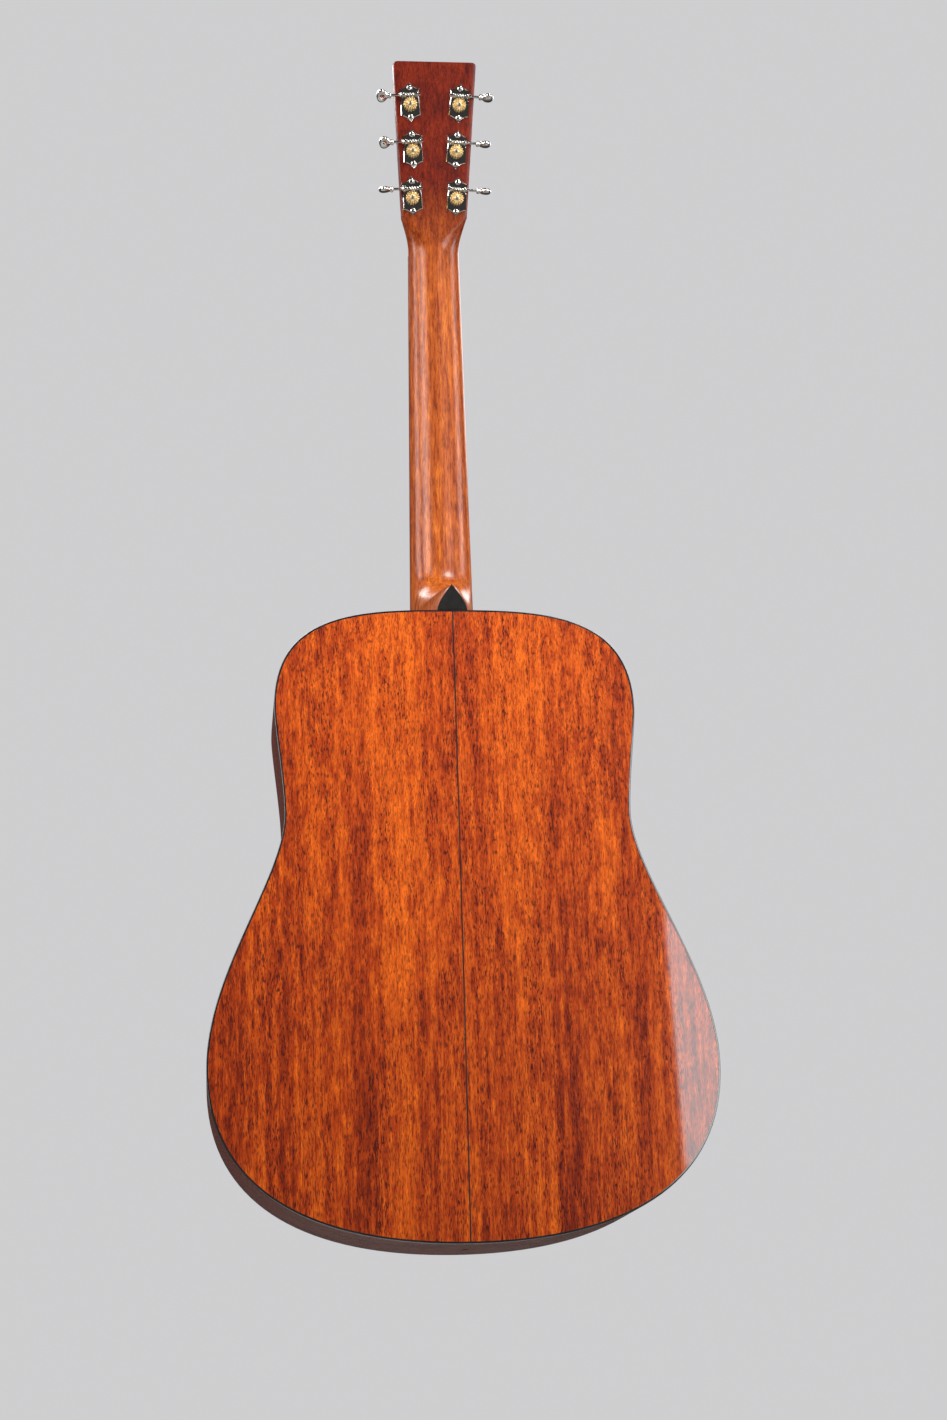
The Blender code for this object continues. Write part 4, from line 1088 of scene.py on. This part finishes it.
tunerLook = {
    "rows": ((0.0195, 0.0421), (0.0191, 0.0834), (0.0215, 0.1243)),   # from the centre line, up from the nut
    "tilt": math.radians(3.4),
    "plateNear": 0.0137,
    "plateFar": 0.0148,
    "plateHalf": (
        (0, -0.0154), (0.0007, -0.0147), (0.0014, -0.0136), (0.0022, -0.0127), (0.0032, -0.0119),
        (0.0043, -0.0112), (0.0056, -0.0105), (0.0070, -0.0100), (0.0086, -0.0097), (0.0085, -0.0060),
        (0.0083, 0.0010), (0.0079, 0.0060), (0.0078, 0.0098), (0.0082, 0.0118), (0.0092, 0.0138),
        (0.0074, 0.0138), (0.0058, 0.0142), (0.0045, 0.0148), (0.0034, 0.0157), (0.0025, 0.0167),
        (0.0018, 0.0178), (0.0010, 0.0184), (0, 0.0186)),
    "plateEdge": 0.00055,
    "ears": 0.0064,          # how far out the two ears stand
    "earRadius": 0.0026,
    "earHalf": (0.0005, 0.0004),   # half thickness, and inside its eased edges
    "earShrink": 0.93,
    "screws": (-0.0112, 0.01465),
    "screwTurn": 0.25,
    "screwHead": (0.0025, 0.0014, 0.00055, 0.0006),   # radius, height, width and depth of its slot
    "wormRise": 0.0079,
    "wormDepth": 0.0169,
    "turns": (0, 4, 14, 0, 35, 42),   # how far each button has been turned, in degrees
}


def tunerSide(number):
    return -1 if number < 3 else 1


def tunerPlace(number):
    half, rise = tunerLook["rows"][number % 3]
    side = tunerSide(number)
    turn = Matrix.Rotation(side * tunerLook["tilt"], 4, "Y")
    return headPlace @ Matrix.Translation((side * half, 0, rise)) @ turn


def postCut(number):
    low, high, radius = -0.03, 0.02, 0.0044
    profile = [(0, low), (radius, low), (radius, high), (0, high)]
    place = tunerPlace(number) @ forwards
    return addTurned(f"postCut{number}", profile, place, "neckMahogany", 28, body=None)


def slotHead(name, place, radius, height, slotWidth, slotDepth, turn, finish):
    # a domed screw head with a driver's slot
    steps = 7
    profile = [(0, height)]
    for step in range(1, steps + 1):
        angle = math.pi / 2 * step / steps
        profile.append((radius * math.sin(angle), height * math.cos(angle) ** 0.8 if step < steps else 0.0))
    profile += [(radius, -0.0002), (0, -0.0002)]
    head = addTurned(name, profile, place, finish, 28, body=None)
    turned = place @ Matrix.Rotation(turn, 4, "Z")
    wide, reach = slotWidth / 2, radius * 1.2
    corners = [(-reach, -wide), (reach, -wide), (reach, wide), (-reach, wide)]
    points = [turned @ Vector((x, y, z)) for z in (height - slotDepth, height + 0.001) for x, y in corners]
    cutter = addPiece("slotCut", points, ringFaces(2, 4), finish, body=None)
    cutWith(head, [cutter])
    return head


def wormProfile():
    # (distance out, half width, half thickness) of the shaft and its bean-shaped button
    return (
        (-0.00930, 0.0003, 0.0003), (-0.00925, 0.0012, 0.0012), (-0.00900, 0.0017, 0.0017),
        (-0.00740, 0.0017, 0.0017), (-0.00720, 0.0014, 0.0014), (-0.00700, 0.0013, 0.0013),
        (-0.00570, 0.0013, 0.0013), (-0.00560, 0.0011, 0.0011), (0.00560, 0.0011, 0.0011),
        (0.00570, 0.0013, 0.0013), (0.00700, 0.0013, 0.0013), (0.00720, 0.0015, 0.0015),
        (0.00740, 0.0017, 0.0017), (0.00960, 0.0017, 0.0017), (0.00985, 0.0014, 0.0014),
        (0.00990, 0.0011, 0.0011), (0.01670, 0.0011, 0.0011), (0.01680, 0.0020, 0.0020),
        (0.01700, 0.0024, 0.0024), (0.01760, 0.00262, 0.00262), (0.01840, 0.0026, 0.0026),
        (0.01900, 0.0023, 0.0022), (0.01940, 0.0021, 0.0020), (0.01980, 0.0023, 0.0020),
        (0.02040, 0.0033, 0.0021), (0.02120, 0.0044, 0.0023), (0.02220, 0.0055, 0.00245),
        (0.02330, 0.0062, 0.00252), (0.02440, 0.00665, 0.00255), (0.02560, 0.0067, 0.0025),
        (0.02670, 0.0063, 0.0024), (0.02760, 0.0056, 0.0022), (0.02830, 0.0046, 0.0019),
        (0.02880, 0.0034, 0.0015), (0.02915, 0.0022, 0.0010), (0.02935, 0.0010, 0.0005),
        (0.02940, 0.0003, 0.0002),
    )


def makePlate(number, place):
    look, label = tunerLook, number + 1
    near, far, radius = look["plateNear"], look["plateFar"], look["earRadius"]
    right = list(look["plateHalf"])
    outline = right + [(-x, z) for x, z in reversed(right[1:-1])]
    parts = [addSlab("plate", outline, near, far, look["plateEdge"], place, "plateNickel", body=None)]
    profile = [(-radius, far - 0.0003), (radius, far - 0.0003)]
    for step in range(9):
        angle = math.pi * step / 8
        profile.append((radius * math.cos(angle), look["wormDepth"] + 0.0001 + radius * math.sin(angle)))
    outer, inner = look["earHalf"]
    shrink = look["earShrink"]
    for x in (-look["ears"], look["ears"]):   # the ears carry the worm, and their backs are round
        ends = []
        for out, size in ((-outer, shrink), (-inner, 1.0), (inner, 1.0), (outer, shrink)):
            ends.append([place @ Vector((x + out, y, look["wormRise"] + z * size)) for z, y in profile])
        parts.append(addSkin("ear", ends, "plateNickel", body=None))
    for index, z in enumerate(look["screws"]):
        turn = look["screwTurn"] * (label + index) + math.pi / 2
        screwPlace = place @ Matrix.Translation((0, far, z)) @ backwards
        parts.append(slotHead("plateScrew", screwPlace, *look["screwHead"], turn, "nickel"))
    merge(f"tunerPlate{label}", parts, "root", [f"tuner_plate_{label}"])


wormLook = {
    "reach": 0.0051,        # the thread runs this far each way
    "turns": 4.5,
    "steps": 96,
    "core": 0.0007,
    "rise": 0.0005,
    "fade": 12,
    "wire": 0.00058,
    "sides": 28,
    "squareness": 0.85,     # below one where the button is wider than it is thick
}


def rounded(value, power):
    return math.copysign(abs(value) ** power, value)


def makeButton(number, place, side):
    label, look = number + 1, wormLook
    axis = place @ Matrix.Translation((0, tunerLook["wormDepth"], tunerLook["wormRise"]))
    axis = axis @ Matrix.Rotation(math.radians(tunerLook["turns"][number]), 4, "X")
    angles = [2 * math.pi * step / look["sides"] for step in range(look["sides"])]
    rings = []
    for out, wide, thin in wormProfile():
        power = 1.0 if wide == thin else look["squareness"]
        rings.append([axis @ Vector((side * out, wide * rounded(math.cos(a), power),
                                     thin * rounded(math.sin(a), power))) for a in angles])
    button = addSkin("button", rings, "nickel", body=None, sharp=50)
    thread = []
    for step in range(look["steps"] + 1):   # a right-handed thread
        share = step / look["steps"]
        angle = 2 * math.pi * look["turns"] * share
        radius = look["core"] + look["rise"] * min(1.0, look["fade"] * share, look["fade"] * (1 - share))
        thread.append(axis @ Vector((look["reach"] * (2 * share - 1), radius * math.cos(angle),
                                     radius * math.sin(angle))))
    wire = addTube("wormThread", thread, look["wire"], "nickel", 8, body=None)
    merge(f"tunerButton{label}", [button, wire], f"knob_{label}", [f"tuner_knob_{label}"])


postLook = {
    "radius": 0.0031,
    "waist": 0.0026,
    "hole": 0.0009,
    "holeHeight": 0.0101,
    "holeReach": 0.006,
    "teeth": 16,
    "tooth": ((0.00, 0.0), (0.16, 0.0), (0.32, 0.8), (0.42, 1.0), (0.74, 1.0), (0.84, 0.8)),   # turn, rise
    "toothStart": 0.25,
    "gearNear": 0.0153,
    "gearFar": 0.0185,
    "gearTip": 0.0059,
    "gearRoot": 0.0050,
    "grooveEnd": 0.0023,
    "grooveDepth": 0.0013,
    "hub": ((0, 0.0003), (0.0018, 0.0003), (0.0021, 0.0001), (0.0021, -0.0004), (0, -0.0004)),
    "screwHead": (0.0015, 0.0006, 0.0005, 0.0005),
}


def makePost(number, place):
    look, turn = postLook, place @ forwards
    radius, waist, foot = look["radius"], look["waist"], -look["gearNear"] + 0.0004
    profile = [(0, 0.0129), (0.0023, 0.0129), (0.0028, 0.0127), (radius, 0.0122), (radius, 0.0086),
               (0.0029, 0.0080), (waist, 0.0070), (waist, 0.0046), (0.0029, 0.0036), (radius, 0.0030),
               (radius, foot), (0, foot)]
    post = addTurned("post", profile, turn, "nickel", 32, body=None)
    aim = math.radians(25 + 40 * number)
    bore = turn @ Matrix.Translation((0, 0, look["holeHeight"])) @ Matrix.Rotation(aim, 4, "Z")
    bore = bore @ Matrix.Rotation(math.pi / 2, 4, "Y")
    hole, reach = look["hole"], look["holeReach"]
    cutWith(post, [addTurned("postBore", [(0, -reach), (hole, -reach), (hole, reach), (0, reach)], bore,
                             "nickel", 16, body=None)])
    return post


def makeGear(place):
    # teeth whose gaps run inwards as grooves on the outer face
    look = postLook
    teeth, near, far = look["teeth"], look["gearNear"], look["gearFar"]
    rings = [[] for _ in range(5)]
    for tooth in range(teeth):
        for part, lift in look["tooth"]:
            angle = 2 * math.pi * (tooth + part + look["toothStart"]) / teeth
            reach = look["gearRoot"] + (look["gearTip"] - look["gearRoot"]) * lift
            cut = look["grooveDepth"] * (1 - lift)
            spots = ((reach - 0.0003, near), (reach, near + 0.0003), (reach, far - 0.0004 - cut),
                     (reach - 0.0004, far - 0.0001 - cut), (look["grooveEnd"], far))
            for ring, (radius, depth) in zip(rings, spots):
                ring.append(place @ Vector((radius * math.cos(angle), depth, radius * math.sin(angle))))
    return addSkin("gear", rings, "gearBrass", body=None, sharp=25)


def makeBushing(label, turn):
    section = [(0.0032, -0.0015), (0.0032, 0.0034), (0.0036, 0.0035), (0.0048, 0.0032), (0.0056, 0.0026),
               (0.0057, 0.0019), (0.0042, 0.0019), (0.0042, -0.0015)]
    rings = []
    for step in range(36):
        angle = 2 * math.pi * step / 36
        rings.append([turn @ Vector((radius * math.cos(angle), radius * math.sin(angle), height))
                      for radius, height in section])
    addSkin(f"postBushing{label}", rings, "nickel", closed=True, slot="plate_nickel")


def makeTuner(number):
    place, label, far = tunerPlace(number), number + 1, postLook["gearFar"]
    makePlate(number, place)
    makeButton(number, place, tunerSide(number))
    hubPlace = place @ Matrix.Translation((0, far, 0)) @ backwards
    screwPlace = place @ Matrix.Translation((0, far + postLook["hub"][0][1], 0)) @ backwards
    turn = math.radians(35 + 50 * number)
    parts = [makePost(number, place), makeGear(place)]
    parts.append(addTurned("gearHub", postLook["hub"], hubPlace, "gearBrass", 32, body=None))
    parts.append(slotHead("gearScrew", screwPlace, *postLook["screwHead"], turn, "screwSteel"))
    merge(f"tunerPost{label}", parts, f"post_{label}", [f"tuner_post_{label}"])
    makeBushing(label, place @ forwards)


stringLook = {
    "wraps": (2.6, 3.0, 3.4, 4.2, 4.8, 5.4),
    "depth": -0.0054,       # where a string meets its post
    "wound": 4,
    "bend": 0.0016,
    "pinLift": 0.0026,
    "wrapSteps": 20,        # to each turn
}


def roundedPath(corners, radius, steps=6):
    # straight runs with each bend eased over a short arc
    path = [Vector(corners[0])]
    for before, here, after in zip(corners, corners[1:], corners[2:]):
        before, here, after = Vector(before), Vector(here), Vector(after)
        first = here + (before - here).normalized() * min(radius, (before - here).length * 0.45)
        last = here + (after - here).normalized() * min(radius, (after - here).length * 0.45)
        for step in range(steps + 1):
            t = step / steps
            path.append(first.lerp(here, t).lerp(here.lerp(last, t), t))
    path.append(Vector(corners[-1]))
    return path


def makeStrings():
    for number, radius in enumerate(stringRadii):
        xNut, xSaddle = (stringOffset(number, look["spacing"]) for look in (nutLook, bridgeLook))
        overNut = nutLook["top"] - xNut ** 2 / (2 * boardLook["radius"]) + 0.0002 + radius
        overSaddle = bridgeLook["saddleTop"] - xSaddle ** 2 / (2 * boardLook["radius"]) + 0.00005 + radius
        tuner = number if number < 3 else 8 - number
        side = tunerSide(tuner)
        half, rise = tunerLook["rows"][tuner % 3]
        meet = headPlace @ Vector((side * (half - postLook["waist"] - radius), stringLook["depth"], rise))
        saddleZ = bridgeLook["saddleZ"] + xSaddle * math.tan(bridgeLook["slant"])
        corners = [(xSaddle, -0.0066, bridgeLook["pinZ"] + stringLook["pinLift"]),
                   (xSaddle, -0.0086 - radius, 0.2072), (xSaddle, -overSaddle, saddleZ),
                   (xNut, -overNut, neckShape["nutZ"] + 0.0009), tuple(meet)]
        finish, slotName = "plainString", "string_plain"
        if number < stringLook["wound"]:
            finish, slotName = "woundString", "string_wound"
        addTube(f"string{number + 1}", roundedPath(corners, stringLook["bend"]), radius, finish, 10,
                slot=slotName, replaces=[f"string_{number + 1}"])
        turn, steps = tunerPlace(tuner) @ forwards, stringLook["wrapSteps"]
        start = math.pi if side > 0 else 0.0
        reach, coil = postLook["waist"] + radius, []
        for step in range(int(stringLook["wraps"][number] * steps) + 1):
            angle = start - side * 2 * math.pi * step / steps
            height = -stringLook["depth"] - 2.02 * radius * (step / steps) + radius * 0.6 + 0.0004
            coil.append(turn @ Vector((reach * math.cos(angle), reach * math.sin(angle), height)))
        addTube(f"stringWrap{number + 1}", coil, radius, finish, 8, body=f"post_{tuner + 1}", slot=slotName)


keptFinishes = {   # the plain parts inside the body that no new piece stands for
    "braceSpruce": [
        "lining_top_bass", "lining_top_treble", "lining_back_bass", "lining_back_treble", "tail_block",
        "x_brace", "tone_bar_1", "tone_bar_2", "upper_brace", "back_brace_1", "back_brace_2",
        "back_brace_3", "back_brace_4"],
    "innerMahogany": ["neck_block"],
    "plateRosewood": ["bridge_plate"],
    "screwSteel": ["truss_rod", "truss_rod_nut"],
}


def finishKept():
    for finish, names in keptFinishes.items():
        for name in names:
            node = frame["nodes"][name]
            if not node.data.materials:
                node.data.materials.append(None)
            for place in node.material_slots:
                place.link = "OBJECT"
                place.material = finishes[finish]


def makeFloor():
    half, z, count = studio["floorHalf"], studio["floorHeight"], 96
    angles = [2 * math.pi * step / count for step in range(count)]
    edge = [(half * math.cos(angle), half * math.sin(angle), z) for angle in angles]
    floor = addPiece("studioFloor", edge, [tuple(range(count))], "studioFloor", body=None)


makeCamera()
makeLights()
finishes = makeFinishes()
print("finishes:", len(finishes))
makeFloor()
makeBack()
makeEdges()
makeSoundboard()
makePickguard()
print("body: back, rims, bindings, top and rosette made")
makeNeck()
makeHeelCap()
makeHeadplate()
makeFingerboard()
makeFrets()
makeDots()
makeNut()
makeBridge()
makeSaddle()
makePins()
print("neck, fingerboard and bridge made")
for tunerNumber in range(6):
    makeTuner(tunerNumber)
makeStrings()
print("tuning machines and strings made")
finishKept()
